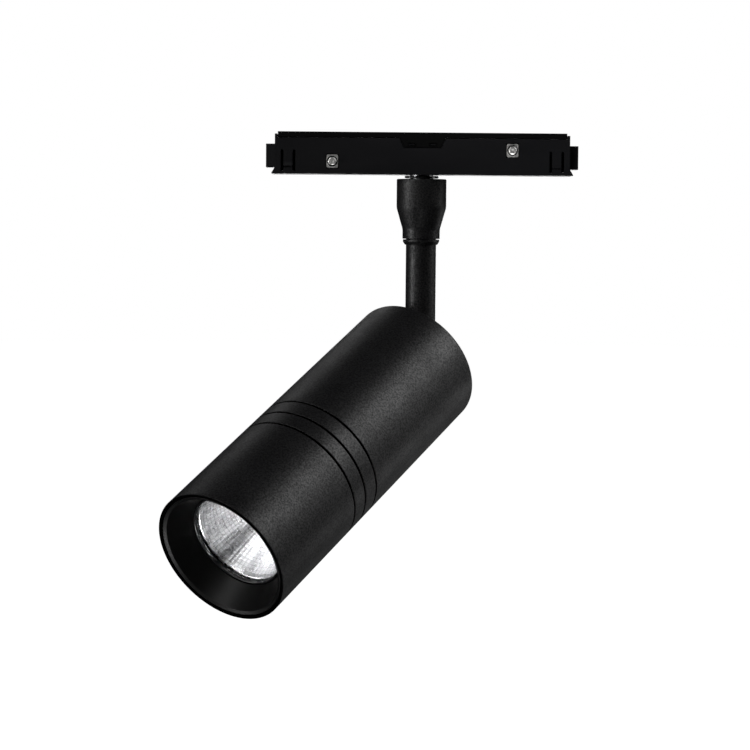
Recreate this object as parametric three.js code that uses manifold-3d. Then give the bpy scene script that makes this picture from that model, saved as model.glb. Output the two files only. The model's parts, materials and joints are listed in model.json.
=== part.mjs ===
// Track spotlight: a low-voltage track adapter, a turning stem and a tilting
// cylindrical head.  Millimetres, +Z up.  The origin is the centre of the
// adapter's top face, which lies against the inside of the track.
//
// Three nested groups carry the motion: the adapter stays in the track, the stem
// turns about Z inside it, and the head tilts about X at the foot of the stem.
// The stem and the head are modelled facing -Y and straight down, and their
// groups turn them to the pose at rest.

import * as THREE from 'three';
import { mergeVertices } from 'three/addons/utils/BufferGeometryUtils.js';
import Module from 'manifold-3d';

const wasm = await Module();
wasm.setup();

// ---------------------------------------------------------------- dimensions

const GAP = 0.3;                 // air between pieces that touch on the real object
const OVERRUN = 1.0;             // how far a cutter runs past the face that it opens
const OVERLAP = 0.5;             // how far joined solids reach into each other

// Pose at rest, in degrees
const REST_PAN = -36.1;          // from facing -Y, about +Z
const REST_TILT = 61.9;          // up from straight down

// Adapter
const ADAPTER_HALF = 59.0;       // half length along X
const ADAPTER_HALF_WIDTH = 10.0;
const ADAPTER_BOTTOM = -16.85;
const WALL = 1.6;
const FLOOR = 1.2;
const COVER_HALF = 57.8;
const COVER_BOTTOM = -2.1;
const SHOULDER_TOP = -0.9;
const FOOT = { half: 60.3, top: -14.3, thick: 0.5 };      // end walls slant out to it
const BRIDGE = { topHalf: 9.5, footHalf: 7.4, foot: -5.9, thick: 0.9 };
const CATCH = { x: 4.2, z: -4.9, width: 2.9, height: 1.2, tooth: 0.45, sunk: 0.1 };

// Flexible tongues in the long walls
const TONGUE_SLOTS = [51.35, 56.1];
const TONGUE_SLOT_WIDTH = 1.1;
const TONGUE_TOP = -7.3;
const TONGUE_CUT = -14.05;
const TONGUE_CUT_HEIGHT = 0.4;
const BARB = { top: -12.4, proud: 0.4, land: 0.4 };

// End latches
const LATCH_REACH = 62.75;
const LATCH_TOP = -4.8;
const LATCH_BOTTOM = -14.25;
const LATCH_HALF_WIDTH = 5.0;
const LATCH_INNER = 46.8;
const LATCH_SHOULDER = 56.9;
const LATCH_LIP = 1.1;           // how far the shoulder is larger than the tab
const RIB_INNER = 39.9;          // rib of the housing that the spring pushes on
const RIB_OUTER = 41.1;
const RIB_CLEARANCE = 1.0;       // under the cover
const LATCH_SPRING = { radius: 2.2, wire: 0.3, turns: 4 };

// Pieces inside the adapter
const BAR_MAGNET = { inner: 10.8, outer: 30.4, halfWidth: 6.0, bottom: -5.7, top: -2.7 };
const KEEPER = { halfWidth: 6.5, bottom: -7.0, top: -6.0 };
const ADAPTER_BOARD = { half: 31.0, halfWidth: 7.9, bottom: -8.9, top: -7.9 };
const ADAPTER_CHOKE = { x: 20.0, radius: 4.5, bottom: -14.6, top: -9.2 };

// Contacts
const CONTACTS = [
  { side: 'left', x: -36.0, z: -11.7 },
  { side: 'right', x: 36.0, z: -6.9 },
];
const PLATE = { width: 4.6, height: 5.3, thick: 0.6, hole: 2.05 };
const PIN_RADIUS = 1.65;
const PIN_PROUD = 1.3;
const PIN_DOME = 0.6;
const PIN_COLLAR = 2.3;
const PIN_COLLAR_FRONT = -6.9;
const PIN_COLLAR_BACK = -6.1;
const BLOCK_HALF = 3.3;
const BLOCK_FRONT = -8.1;
const BLOCK_BACK = -2.0;
const BLOCK_CHAMBER = 2.75;      // bore behind the plate, for the collar and the spring
const BLOCK_BACK_WALL = 0.8;
const BLOCK_VENT = 1.0;
const CONTACT_SPRING = { radius: 1.5, wire: 0.25, turns: 3 };

// Swivel and stem
const CUP_TOP = -18.43;
const CUP_RADIUS = 10.05;
const CUP_TAPER_TOP = -30.0;
const CUP_TAPER_FOOT = -38.7;
const CUP_FOOT_RADIUS = 7.55;
const CUP_BOTTOM = -42.5;
const CUP_CEILING = -21.4;
const CUP_POCKET_FOOT = -26.9;
const CUP_POCKET_RADIUS = 8.2;
const COLLAR_RADIUS = 7.35;
const COLLAR_TAPER_TOP = -43.7;
const COLLAR_BOTTOM = -44.9;
const COLLAR_LIP = 0.15;
const STEM_RADIUS = 6.1;
const STEM_BORE = 4.2;
const STEM_TOP = -25.0;
const STUD_RADIUS = 4.7;
const STUD_BORE = 3.1;
const STUD_TOP = -9.6;
const STUD_FLANGE = 7.6;
const STUD_FLANGE_THICK = 2.7;
const THRUST_WASHER = { bottom: -15.35, thick: 0.4, radius: 6.1 };
const STOP_WASHER = { bottom: -14.65, thick: 0.6, radius: 6.1, reach: 7.9, halfWidth: 0.6 };
const STOP_POST = { circle: 7.0, radius: 0.55, top: -13.9 };
const SWIVEL_NUT = { bottom: -13.75, thick: 2.2, flats: 13.0 };
const WAVE_WASHER = { inner: 5.2, outer: 6.85, thick: 0.35, wave: 0.4, waves: 3 };
const GRUB = { z: -29.2, radius: 1.5, sunk: 0.5 };
const STEM_LEADS = { radius: 1.2, bend: 0.4 };

// Hinge, measured from its pivot
const PIVOT_Z = -90.95;
const TONGUE_HALF_THICK = 2.5;
const EYE_RADIUS = 4.4;
const KNUCKLE_SHOULDER = 13.7;
const KNUCKLE_SEAT = 14.7;
const KNUCKLE_END = 27.0;
const KNUCKLE_PLUG = 3.9;
const KNUCKLE_DUCT = 1.7;
const DUCT_FOOT = 6.0;           // the leads leave the knuckle between these heights
const DUCT_TOP = 11.0;
const FORK_INNER = 3.6;
const FORK_OUTER = 7.1;
const FORK_WEB = { inner: 4.7, outer: 7.2, top: 5.0 };
const BOLT_RADIUS = 2.0;
const BOLT_HEAD = 3.6;
const BOLT_HEAD_THICK = 1.9;
const BOLT_PLAY = 0.25;
const BOLT_TAIL = 2.0;
const HINGE_NUT = { flats: 6.6, thick: 1.8 };
const HINGE_WASHER_THICK = 0.5;
const WASHER_SHY = 0.2;          // how far a washer stays inside the eye's outline

// Head: depths along the head's axis are counted back from the front rim
const REAR_FACE = -4.93;         // below the pivot, with the head straight down
const HEAD_LENGTH = 137.5;
const HEAD_RADIUS = 27.5;
const TUBE_BORE = 26.25;
const GROOVE_WIDTH = 0.85;
const GROOVES = [48.75, 56.3, 64.0];
const GROOVE_FLOOR = 26.3;
const SPIGOT_RADIUS = 25.95;
const SPIGOT_BORE = 24.0;
const SPIGOT_FRONT = 42.0;
const SPIGOT_BACK = 70.0;
const EDGE = 0.4;                // small bevel on the turned rims
const SINK_FACE = 50.0;
const SINK_BACK = 61.0;
const SINK_FIN = 14.0;
const FIN_THICK = 2.0;
const FIN_END = 76.0;

const BAFFLE_LIP = { radius: 24.6, depth: 1.0 };
const BAFFLE_THROAT = { radius: 19.75, depth: 10.7 };
const BAFFLE_SKIRT_END = 8.0;
const LENS_OPENING = 18.7;
const LENS_RING_FACE = 11.3;
const LENS_RING_RADIUS = 22.7;
const SLEEVE_BORE = 20.0;
const SLEEVE_RADIUS = 21.2;
const LENS_RING_SKIRT = { end: 17.8, wall: 1.1 };
const LENS_RING_THICK = 0.8;
const LENS_BEAD = { proud: 0.5, round: 0.2, width: 0.7 };
const GLASS = { front: 12.4, thick: 1.0, radius: 19.7 };
const REFLECTOR = {
  mouth: 13.7, mouthRadius: 18.6, foot: 45.2, footRadius: 6.2, wall: 0.8, flange: 19.7, rows: 5,
};
const BAFFLE_WALL = 1.2;
const BAFFLE_SKIRT_WALL = 1.0;

// LED, its holder and the pad under it
const HOLDER = { bore: 7.6, radius: 16.0, front: 45.5, back: 49.7 };
const HOLDER_RECESS = { radius: 13.0, front: 47.2 };
const HOLDER_SCREWS = 14.5;
const HOLDER_SCREW = { head: 1.9, shank: 0.9, front: 44.2, seat: 45.2, end: 53.0, hole: 1.2 };
const THREAD_HOLE = { radius: 1.25, deep: 4.0 };
const COB = { half: 7.9, front: 47.9, back: 48.9, emitter: 5.5, emitterFront: 47.5 };
const THERMAL_PAD = { half: 7.5, front: 49.2, back: 49.7 };
const LED_LEAD_OFFSET = 10.6;
const LED_LEAD_DUCT = 1.6;

// Driver in the rear housing
const TRAY = { half: 16.0, floor: 8.0, floorThick: 1.2, lip: 5.6, lipThick: 1.1 };
const TRAY_FRONT = -60.4;
const TRAY_BACK = -14.4;
const DRIVER_BOARD = { half: 14.5, y: 6.1, thick: 1.6, front: -58.0, back: -17.0 };
const DRIVER_CHOKE = { radius: 7.0, y: -2.2, height: 8.0, z: -46.0 };
const DRIVER_CAPACITOR = { radius: 4.0, x: -7.0, y: 1.8, front: -36.0, back: -21.0 };
const LED_LEAD_RADIUS = 0.8;
const HEAD_LEAD_RADIUS = 1.1;

const CAP_RADIUS = 25.95;
const CAP_THICK = 3.0;
const CAP_SCREW_CIRCLE = 22.0;
const CAP_LEDGE = { bore: 18.5, thick: 3.2 };
const CAP_DUCT = { y: -9.0, radius: 2.2 };
const CAP_SCREW = { head: 2.8, shank: 1.3, sunk: 0.1, rim: 0.4, cone: 2.0, length: 8.0 };
const FORK_ROOT = -6.5;          // where the ears start on the cap, opposite the web

// Facets per turn
const FINE = 40;
const MEDIUM = 28;
const SMALL = 20;
const TINY = 10;

// -------------------------------------------------------------------- colours

const finish = (color, roughness, metalness) =>
  new THREE.MeshStandardMaterial({ color, roughness, metalness });

const BLACK_POWDER = finish(0x1c1c1e, 0.62, 0.35);
const BLACK_PLASTIC = finish(0x1a1a1c, 0.42, 0.0);
const BLACK_MATTE = finish(0x101011, 0.85, 0.0);
const BLACK_GLOSS = finish(0x0c0c0d, 0.15, 0.0);
const NICKEL = finish(0xd8d8d4, 0.22, 1.0);
const STEEL = finish(0x9a9c9e, 0.38, 1.0);
const MIRROR = finish(0xe6e7ea, 0.1, 1.0);
const CLEAR = finish(0xe8eef0, 0.05, 0.0);
const BOARD = finish(0x1d5a34, 0.5, 0.0);
const MAGNET_PLATE = finish(0x6c6e72, 0.3, 0.9);
const PHOSPHOR = finish(0xe7c25a, 0.6, 0.0);
const RUBBER = finish(0x8a8c90, 0.8, 0.0);
const CABLE = finish(0x2a2a2c, 0.6, 0.0);

// ---------------------------------------------------------------- shape tools

// A closed three.js geometry as a solid for cutting and joining.
function solid(geometry) {
  const bare = geometry.clone();
  bare.deleteAttribute('normal');
  bare.deleteAttribute('uv');
  const merged = mergeVertices(bare, 1e-4);
  return new wasm.Manifold(new wasm.Mesh({
    numProp: 3,
    vertProperties: new Float32Array(merged.attributes.position.array),
    triVerts: new Uint32Array(merged.index.array),
  }));
}

function geometryOf(shape) {
  const mesh = shape.getMesh();
  const geometry = new THREE.BufferGeometry();
  geometry.setAttribute('position', new THREE.BufferAttribute(mesh.vertProperties, 3));
  geometry.setIndex(new THREE.BufferAttribute(mesh.triVerts, 1));
  geometry.computeVertexNormals();
  return geometry;
}

function join(...geometries) {
  return geometries.map(solid).reduce((all, one) => all.add(one));
}

function cut(body, ...tools) {
  return tools.reduce((left, tool) => left.subtract(solid(tool)), body);
}

function box(x0, x1, y0, y1, z0, z1) {
  const geometry = new THREE.BoxGeometry(x1 - x0, y1 - y0, z1 - z0);
  return geometry.translate((x0 + x1) / 2, (y0 + y1) / 2, (z0 + z1) / 2);
}

// Solid of revolution about Z from a closed loop of [radius, z] points.
function turned(outline, segments) {
  const doubleArea = outline.reduce((sum, [r, z], i) => {
    const [nextR, nextZ] = outline[(i + 1) % outline.length];
    return sum + r * nextZ - nextR * z;
  }, 0);
  const ordered = doubleArea < 0 ? [...outline].reverse() : [...outline];
  const points = [...ordered, ordered[0]].map(([r, z]) => new THREE.Vector2(r, z));
  return new THREE.LatheGeometry(points, segments).rotateX(Math.PI / 2);
}

function disc(radius, z0, z1, segments) {
  return turned([[0, z0], [radius, z0], [radius, z1], [0, z1]], segments);
}

function ring(inner, outer, z0, z1, segments) {
  return turned([[inner, z0], [outer, z0], [outer, z1], [inner, z1]], segments);
}

// Turn something made about Z so that its axis lies along X or Y.
const alongX = (geometry) => geometry.rotateY(Math.PI / 2);
const alongY = (geometry) => geometry.rotateX(-Math.PI / 2);

function hexagon(flats, z0, z1) {
  return disc(flats / Math.sqrt(3), z0, z1, 6);
}

// Outline in the X-Z plane as a plate from y0 to y1.
function plateY(shape, y0, y1) {
  const geometry = new THREE.ExtrudeGeometry(shape, { depth: y1 - y0, bevelEnabled: false });
  return geometry.rotateX(Math.PI / 2).translate(0, y1, 0);
}

// Outline in the Y-Z plane as a plate from x0 to x1.
function plateX(shape, x0, x1) {
  const geometry = new THREE.ExtrudeGeometry(shape, {
    depth: x1 - x0, bevelEnabled: false, curveSegments: TINY / 2,
  });
  return geometry.rotateX(Math.PI / 2).rotateZ(Math.PI / 2).translate(x0, 0, 0);
}

function outline(points) {
  return new THREE.Shape(points.map(([a, b]) => new THREE.Vector2(a, b)));
}

function alongPath(path, radius, steps, sides) {
  const section = new THREE.Shape();
  section.absarc(0, 0, radius, 0, 2 * Math.PI);
  return new THREE.ExtrudeGeometry(section, {
    steps, extrudePath: path, curveSegments: sides / 2, bevelEnabled: false,
  });
}

// Insulated lead through a few points.
function lead(radius, ...points) {
  const path = new THREE.CatmullRomCurve3(points.map((p) => new THREE.Vector3(...p)));
  return alongPath(path, radius, 8, 8);
}

class Helix extends THREE.Curve {
  constructor(radius, length, turns) {
    super();
    Object.assign(this, { radius, length, turns });
  }

  getPoint(t, target = new THREE.Vector3()) {
    const angle = 2 * Math.PI * this.turns * t;
    const x = this.radius * Math.cos(angle);
    const y = this.radius * Math.sin(angle);
    return target.set(x, y, this.length * t);
  }
}

// Compression spring up from z = 0.
function coil({ radius, wire: wireRadius, turns }, length) {
  const stepsPerTurn = 7;
  return alongPath(new Helix(radius, length, turns), wireRadius, turns * stepsPerTurn, 4);
}

const adapter = new THREE.Group();
const stem = new THREE.Group();
const head = new THREE.Group();

function place(parent, name, shape, material) {
  const geometry = shape instanceof THREE.BufferGeometry ? shape : geometryOf(shape);
  const mesh = new THREE.Mesh(geometry, material);
  mesh.name = name;
  parent.add(mesh);
}

const SIDES = [['left', -1], ['right', 1]];

// Box given for the right-hand side, mirrored in X for the left.
function sideBox(sign, x0, x1, y0, y1, z0, z1) {
  return sign > 0 ? box(x0, x1, y0, y1, z0, z1) : box(-x1, -x0, y0, y1, z0, z1);
}

// -------------------------------------------------------------------- adapter

const HOUSING_TOP = COVER_BOTTOM - GAP;
const INSIDE_HALF = ADAPTER_HALF - WALL;
const INSIDE_HALF_WIDTH = ADAPTER_HALF_WIDTH - WALL;
const FLOOR_TOP = ADAPTER_BOTTOM + FLOOR;

// Trapezium that the cover folds down over a long wall, from y0 to y1.
function bridgePlate(y0, y1, grow) {
  const top = COVER_BOTTOM + OVERRUN;
  return plateY(outline([
    [-BRIDGE.topHalf - grow, top],
    [-BRIDGE.footHalf - grow, BRIDGE.foot - grow],
    [BRIDGE.footHalf + grow, BRIDGE.foot - grow],
    [BRIDGE.topHalf + grow, top],
  ]), y0, y1);
}

// The same stretch of wall on the front (-Y) and the back (+Y).
function bothWalls(inner, outer, make) {
  return [make(-outer, -inner), make(inner, outer)];
}

function catchBox(side, width, height, y0, y1) {
  const x = side * CATCH.x;
  const z = CATCH.z;
  return box(x - width / 2, x + width / 2, y0, y1, z - height / 2, z + height / 2);
}

function housing() {
  const wallIn = INSIDE_HALF_WIDTH - OVERRUN;
  const wallOut = ADAPTER_HALF_WIDTH + OVERRUN;
  const notchDepth = BRIDGE.thick + GAP;
  const notch = ADAPTER_HALF_WIDTH - notchDepth;
  const shellOuter = join(
    box(-ADAPTER_HALF, ADAPTER_HALF, -ADAPTER_HALF_WIDTH, ADAPTER_HALF_WIDTH,
      ADAPTER_BOTTOM, HOUSING_TOP),
    plateY(outline([
      [-ADAPTER_HALF, FOOT.top], [-FOOT.half, ADAPTER_BOTTOM + FOOT.thick],
      [-FOOT.half, ADAPTER_BOTTOM], [FOOT.half, ADAPTER_BOTTOM],
      [FOOT.half, ADAPTER_BOTTOM + FOOT.thick], [ADAPTER_HALF, FOOT.top],
    ]), -ADAPTER_HALF_WIDTH, ADAPTER_HALF_WIDTH),
  );
  let body = cut(shellOuter, box(-INSIDE_HALF, INSIDE_HALF,
    -INSIDE_HALF_WIDTH, INSIDE_HALF_WIDTH, FLOOR_TOP, HOUSING_TOP + OVERRUN));
  for (const [, sign] of SIDES) {
    body = body.add(solid(sideBox(sign, COVER_HALF + GAP, ADAPTER_HALF,
      -ADAPTER_HALF_WIDTH, ADAPTER_HALF_WIDTH, HOUSING_TOP - OVERLAP, SHOULDER_TOP)));
    body = body.add(solid(sideBox(sign, RIB_INNER, RIB_OUTER,
      -INSIDE_HALF_WIDTH - OVERLAP, INSIDE_HALF_WIDTH + OVERLAP,
      FLOOR_TOP - OVERLAP, HOUSING_TOP - RIB_CLEARANCE)));
    body = cut(body, sideBox(sign, INSIDE_HALF - OVERRUN, FOOT.half + OVERRUN,
      -LATCH_HALF_WIDTH - GAP, LATCH_HALF_WIDTH + GAP, LATCH_BOTTOM - GAP, LATCH_TOP + GAP));
    for (const x of TONGUE_SLOTS) {
      body = cut(body, ...bothWalls(wallIn, wallOut, (y0, y1) => sideBox(sign,
        x - TONGUE_SLOT_WIDTH / 2, x + TONGUE_SLOT_WIDTH / 2, y0, y1, FLOOR_TOP, TONGUE_TOP)));
    }
    body = cut(body, ...bothWalls(wallIn, wallOut, (y0, y1) => sideBox(sign,
      TONGUE_SLOTS[0], TONGUE_SLOTS[1], y0, y1,
      TONGUE_CUT - TONGUE_CUT_HEIGHT / 2, TONGUE_CUT + TONGUE_CUT_HEIGHT / 2)));
    body = body.add(join(...[-1, 1].map((wall) => barb(sign, wall))));
  }
  body = cut(body, ...bothWalls(notch, wallOut, (y0, y1) =>
    bridgePlate(y0, y1, GAP)));
  for (const side of [-1, 1]) {
    const catches = bothWalls(notch - OVERLAP, ADAPTER_HALF_WIDTH - CATCH.sunk, (y0, y1) =>
      catchBox(side, CATCH.width - 2 * GAP, CATCH.tooth, y0, y1));
    body = body.add(join(...catches));
  }
  const across = PLATE.width / 2 + GAP;
  const up = PLATE.height / 2 + GAP;
  const windows = CONTACTS.map(({ x, z }) =>
    box(x - across, x + across, -wallOut, -wallIn, z - up, z + up));
  return cut(body, ...windows,
    disc(STUD_RADIUS + GAP, ADAPTER_BOTTOM - OVERRUN, FLOOR_TOP + OVERRUN, SMALL));
}

// Ramp on the free end of a tongue, proud of the long wall.
function barb(sign, wall) {
  const foot = TONGUE_CUT + TONGUE_CUT_HEIGHT / 2;
  const face = wall * ADAPTER_HALF_WIDTH;
  const sunk = wall * (ADAPTER_HALF_WIDTH - OVERLAP);
  const proud = wall * (ADAPTER_HALF_WIDTH + BARB.proud);
  const shape = outline([[sunk, foot], [proud, foot], [proud, foot + BARB.land],
    [face, BARB.top], [sunk, BARB.top]]);
  const x0 = TONGUE_SLOTS[0] + TONGUE_SLOT_WIDTH / 2;
  const x1 = TONGUE_SLOTS[1] - TONGUE_SLOT_WIDTH / 2;
  return sign > 0 ? plateX(shape, x0, x1) : plateX(shape, -x1, -x0);
}

function cover() {
  const inner = ADAPTER_HALF_WIDTH - BRIDGE.thick;
  const strip = join(
    box(-COVER_HALF, COVER_HALF, -ADAPTER_HALF_WIDTH, ADAPTER_HALF_WIDTH, COVER_BOTTOM, 0),
    ...bothWalls(inner, ADAPTER_HALF_WIDTH, (y0, y1) => bridgePlate(y0, y1, 0)),
  );
  const windows = [-1, 1].flatMap((side) =>
    bothWalls(inner - OVERRUN, ADAPTER_HALF_WIDTH + OVERRUN, (y0, y1) =>
      catchBox(side, CATCH.width, CATCH.height, y0, y1)));
  return cut(strip, ...windows);
}

place(adapter, 'adapter_housing', housing(), BLACK_PLASTIC);
place(adapter, 'adapter_cover', cover(), BLACK_PLASTIC);

// Two magnets on steel keepers under the cover hold the adapter in the track.
for (const [side, sign] of SIDES) {
  const bar = ({ halfWidth, bottom, top }) => sideBox(sign,
    BAR_MAGNET.inner, BAR_MAGNET.outer, -halfWidth, halfWidth, bottom, top);
  place(adapter, `magnet_${side}`, bar(BAR_MAGNET), MAGNET_PLATE);
  place(adapter, `keeper_${side}`, bar(KEEPER), STEEL);
}

place(adapter, 'adapter_board', box(-ADAPTER_BOARD.half, ADAPTER_BOARD.half,
  -ADAPTER_BOARD.halfWidth, ADAPTER_BOARD.halfWidth,
  ADAPTER_BOARD.bottom, ADAPTER_BOARD.top), BOARD);
place(adapter, 'adapter_choke', disc(ADAPTER_CHOKE.radius, ADAPTER_CHOKE.bottom,
  ADAPTER_CHOKE.top, SMALL).translate(ADAPTER_CHOKE.x, 0, 0), BLACK_MATTE);

// Contact: plate flush with the wall, guide block behind it, and a sprung pin.
const CHAMBER_BACK = BLOCK_BACK - BLOCK_BACK_WALL;

function contactBlock(x, z) {
  const block = solid(box(-BLOCK_HALF, BLOCK_HALF, BLOCK_FRONT, BLOCK_BACK,
    -BLOCK_HALF, BLOCK_HALF));
  const bored = cut(block,
    alongY(disc(PLATE.hole, BLOCK_FRONT - OVERRUN, CHAMBER_BACK, SMALL)),
    alongY(disc(BLOCK_CHAMBER, PIN_COLLAR_FRONT - GAP, CHAMBER_BACK, SMALL)),
    alongY(disc(BLOCK_VENT, CHAMBER_BACK - OVERLAP, BLOCK_BACK + OVERRUN, TINY)),
  );
  return geometryOf(bored).translate(x, 0, z);
}

function contactPlate(x, z) {
  const across = PLATE.width / 2;
  const up = PLATE.height / 2;
  const front = -ADAPTER_HALF_WIDTH;
  const back = front + PLATE.thick;
  const plate = solid(box(-across, across, front, back, -up, up));
  const holed = cut(plate, alongY(disc(PLATE.hole, front - OVERRUN, back + OVERRUN, SMALL)));
  return geometryOf(holed).translate(x, 0, z);
}

// Domed shank with a collar that keeps it in its block.
function contactPin(x, z) {
  const tip = -(ADAPTER_HALF_WIDTH + PIN_PROUD);
  const dome = [0, 30, 60, 90].map((degrees) => {
    const angle = THREE.MathUtils.degToRad(degrees);
    return [PIN_RADIUS * Math.sin(angle), tip + PIN_DOME * (1 - Math.cos(angle))];
  });
  const shape = turned([
    ...dome, [PIN_RADIUS, PIN_COLLAR_FRONT],
    [PIN_COLLAR, PIN_COLLAR_FRONT], [PIN_COLLAR, PIN_COLLAR_BACK], [0, PIN_COLLAR_BACK],
  ], SMALL);
  return alongY(shape).translate(x, 0, z);
}

for (const { side, x, z } of CONTACTS) {
  const springBack = CHAMBER_BACK - GAP;
  const springLength = springBack - PIN_COLLAR_BACK - GAP;
  const spring = alongY(coil(CONTACT_SPRING, springLength));
  place(adapter, `contact_block_${side}`, contactBlock(x, z), BLACK_MATTE);
  place(adapter, `contact_plate_${side}`, contactPlate(x, z), NICKEL);
  place(adapter, `contact_pin_${side}`, contactPin(x, z), NICKEL);
  place(adapter, `contact_spring_${side}`,
    spring.translate(x, springBack - springLength, z), STEEL);
}

// End latch: a tab through the end wall, a wider shoulder behind it, and a spring.
const LATCH_Z = (LATCH_TOP + LATCH_BOTTOM) / 2;

function latch(sign) {
  const shoulder = LATCH_HALF_WIDTH + LATCH_LIP;
  return join(
    sideBox(sign, LATCH_SHOULDER - OVERLAP, LATCH_REACH, -LATCH_HALF_WIDTH, LATCH_HALF_WIDTH,
      LATCH_BOTTOM, LATCH_TOP),
    sideBox(sign, LATCH_INNER, LATCH_SHOULDER, -shoulder, shoulder,
      LATCH_BOTTOM - LATCH_LIP, LATCH_TOP + LATCH_LIP),
  );
}

for (const [side, sign] of SIDES) {
  const springLength = LATCH_INNER - RIB_OUTER - 2 * GAP;
  const spring = alongX(coil(LATCH_SPRING, springLength));
  const inner = sign > 0 ? RIB_OUTER + GAP : -(LATCH_INNER - GAP);
  place(adapter, `latch_${side}`, latch(sign), BLACK_PLASTIC);
  place(adapter, `latch_spring_${side}`, spring.translate(inner, 0, LATCH_Z), STEEL);
}

// Wavy washer in the gap between the adapter and the neck.
function waveWasher() {
  const middle = (ADAPTER_BOTTOM + CUP_TOP) / 2;
  const { inner, outer, thick, wave, waves } = WAVE_WASHER;
  const washer = ring(inner, outer, -thick / 2, thick / 2, FINE);
  const position = washer.attributes.position;
  for (let i = 0; i < position.count; i += 1) {
    const angle = Math.atan2(position.getY(i), position.getX(i));
    position.setZ(i, position.getZ(i) + middle + wave * Math.sin(waves * angle));
  }
  return washer;
}

place(adapter, 'wave_washer', waveWasher(), STEEL);
place(adapter, 'thrust_washer', ring(STUD_RADIUS + GAP, THRUST_WASHER.radius,
  THRUST_WASHER.bottom, THRUST_WASHER.bottom + THRUST_WASHER.thick, SMALL), BLACK_MATTE);
place(adapter, 'pan_stop_post', disc(STOP_POST.radius, FLOOR_TOP + GAP, STOP_POST.top, TINY)
  .translate(0, -STOP_POST.circle, 0), STEEL);

// ----------------------------------------------------------------------- stem

const STUD_FOOT = CUP_CEILING - GAP - STUD_FLANGE_THICK;

place(stem, 'swivel_stud', turned([
  [STUD_BORE, STUD_FOOT], [STUD_FLANGE, STUD_FOOT],
  [STUD_FLANGE, CUP_CEILING - GAP], [STUD_RADIUS, CUP_CEILING - GAP],
  [STUD_RADIUS, STUD_TOP], [STUD_BORE, STUD_TOP],
], SMALL), STEEL);

place(stem, 'swivel_nut', cut(
  solid(hexagon(SWIVEL_NUT.flats, SWIVEL_NUT.bottom, SWIVEL_NUT.bottom + SWIVEL_NUT.thick)),
  disc(STUD_RADIUS + GAP, SWIVEL_NUT.bottom - OVERRUN,
    SWIVEL_NUT.bottom + SWIVEL_NUT.thick + OVERRUN, SMALL),
), STEEL);

// Washer with a tab that runs against the stop post.
function stopWasher() {
  const { bottom, thick, radius, reach, halfWidth } = STOP_WASHER;
  const whole = join(
    disc(radius, bottom, bottom + thick, SMALL),
    box(-halfWidth, halfWidth, 0, reach, bottom, bottom + thick),
  );
  return cut(whole, disc(STUD_RADIUS + GAP, bottom - OVERRUN, bottom + thick + OVERRUN, SMALL));
}

place(stem, 'stop_washer', stopWasher(), STEEL);

// Neck: a cup that narrows to the stem, with the grub screw's hole at the back.
const NECK_BORE = STEM_RADIUS + GAP;

function swivelCup() {
  const cup = solid(turned([
    [STUD_RADIUS + GAP, CUP_TOP], [CUP_RADIUS - EDGE, CUP_TOP], [CUP_RADIUS, CUP_TOP - EDGE],
    [CUP_RADIUS, CUP_TAPER_TOP], [CUP_FOOT_RADIUS, CUP_TAPER_FOOT],
    [CUP_FOOT_RADIUS, CUP_BOTTOM], [NECK_BORE, CUP_BOTTOM], [NECK_BORE, CUP_POCKET_FOOT],
    [CUP_POCKET_RADIUS, CUP_POCKET_FOOT], [CUP_POCKET_RADIUS, CUP_CEILING],
    [STUD_RADIUS + GAP, CUP_CEILING],
  ], MEDIUM));
  const hole = disc(GRUB.radius + GAP, 0, CUP_RADIUS + OVERRUN, TINY);
  return cut(cup, alongY(hole).translate(0, 0, GRUB.z));
}

place(stem, 'swivel_cup', swivelCup(), BLACK_POWDER);
place(stem, 'grub_screw', alongY(disc(GRUB.radius, NECK_BORE, CUP_RADIUS - GRUB.sunk, TINY))
  .translate(0, 0, GRUB.z), STEEL);

place(stem, 'stem_collar', turned([
  [NECK_BORE, CUP_BOTTOM - GAP], [COLLAR_RADIUS, CUP_BOTTOM - GAP],
  [COLLAR_RADIUS, COLLAR_TAPER_TOP], [NECK_BORE + COLLAR_LIP, COLLAR_BOTTOM],
  [NECK_BORE, COLLAR_BOTTOM],
], SMALL), BLACK_POWDER);

place(stem, 'stem_tube', ring(STEM_BORE, STEM_RADIUS,
  PIVOT_Z + KNUCKLE_SEAT + GAP, STEM_TOP, MEDIUM), BLACK_POWDER);

// Cutter for the hinge bolt's hole through a piece that reaches half to each side.
function boltHole(half) {
  return alongX(disc(BOLT_RADIUS + BOLT_PLAY, -half - OVERRUN, half + OVERRUN, SMALL));
}

// Foot of the stem: a flat tongue with an eye, a round shoulder and a plug.
function knuckle() {
  const flat = new THREE.Shape();
  flat.moveTo(EYE_RADIUS, KNUCKLE_SHOULDER + OVERLAP);
  flat.lineTo(-EYE_RADIUS, KNUCKLE_SHOULDER + OVERLAP);
  flat.lineTo(-EYE_RADIUS, 0);
  flat.absarc(0, 0, EYE_RADIUS, Math.PI, 2 * Math.PI);
  flat.closePath();
  const body = join(
    plateX(flat, -TONGUE_HALF_THICK, TONGUE_HALF_THICK),
    disc(STEM_RADIUS, KNUCKLE_SHOULDER, KNUCKLE_SEAT, MEDIUM),
    disc(KNUCKLE_PLUG, KNUCKLE_SEAT - OVERLAP, KNUCKLE_END, SMALL),
  );
  const bored = cut(body,
    boltHole(TONGUE_HALF_THICK),
    disc(KNUCKLE_DUCT, DUCT_FOOT, KNUCKLE_END + OVERRUN, TINY),
    box(-KNUCKLE_DUCT, KNUCKLE_DUCT, -EYE_RADIUS - OVERRUN, 0, DUCT_FOOT, DUCT_TOP),
  );
  return geometryOf(bored).translate(0, 0, PIVOT_Z);
}

place(stem, 'hinge_knuckle', knuckle(), BLACK_POWDER);
place(stem, 'stem_leads', lead(STEM_LEADS.radius, [0, 0, STUD_TOP], [0, STEM_LEADS.bend, -40],
  [0, 0, -62], [0, 0, PIVOT_Z + DUCT_TOP + 1]), CABLE);

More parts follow.
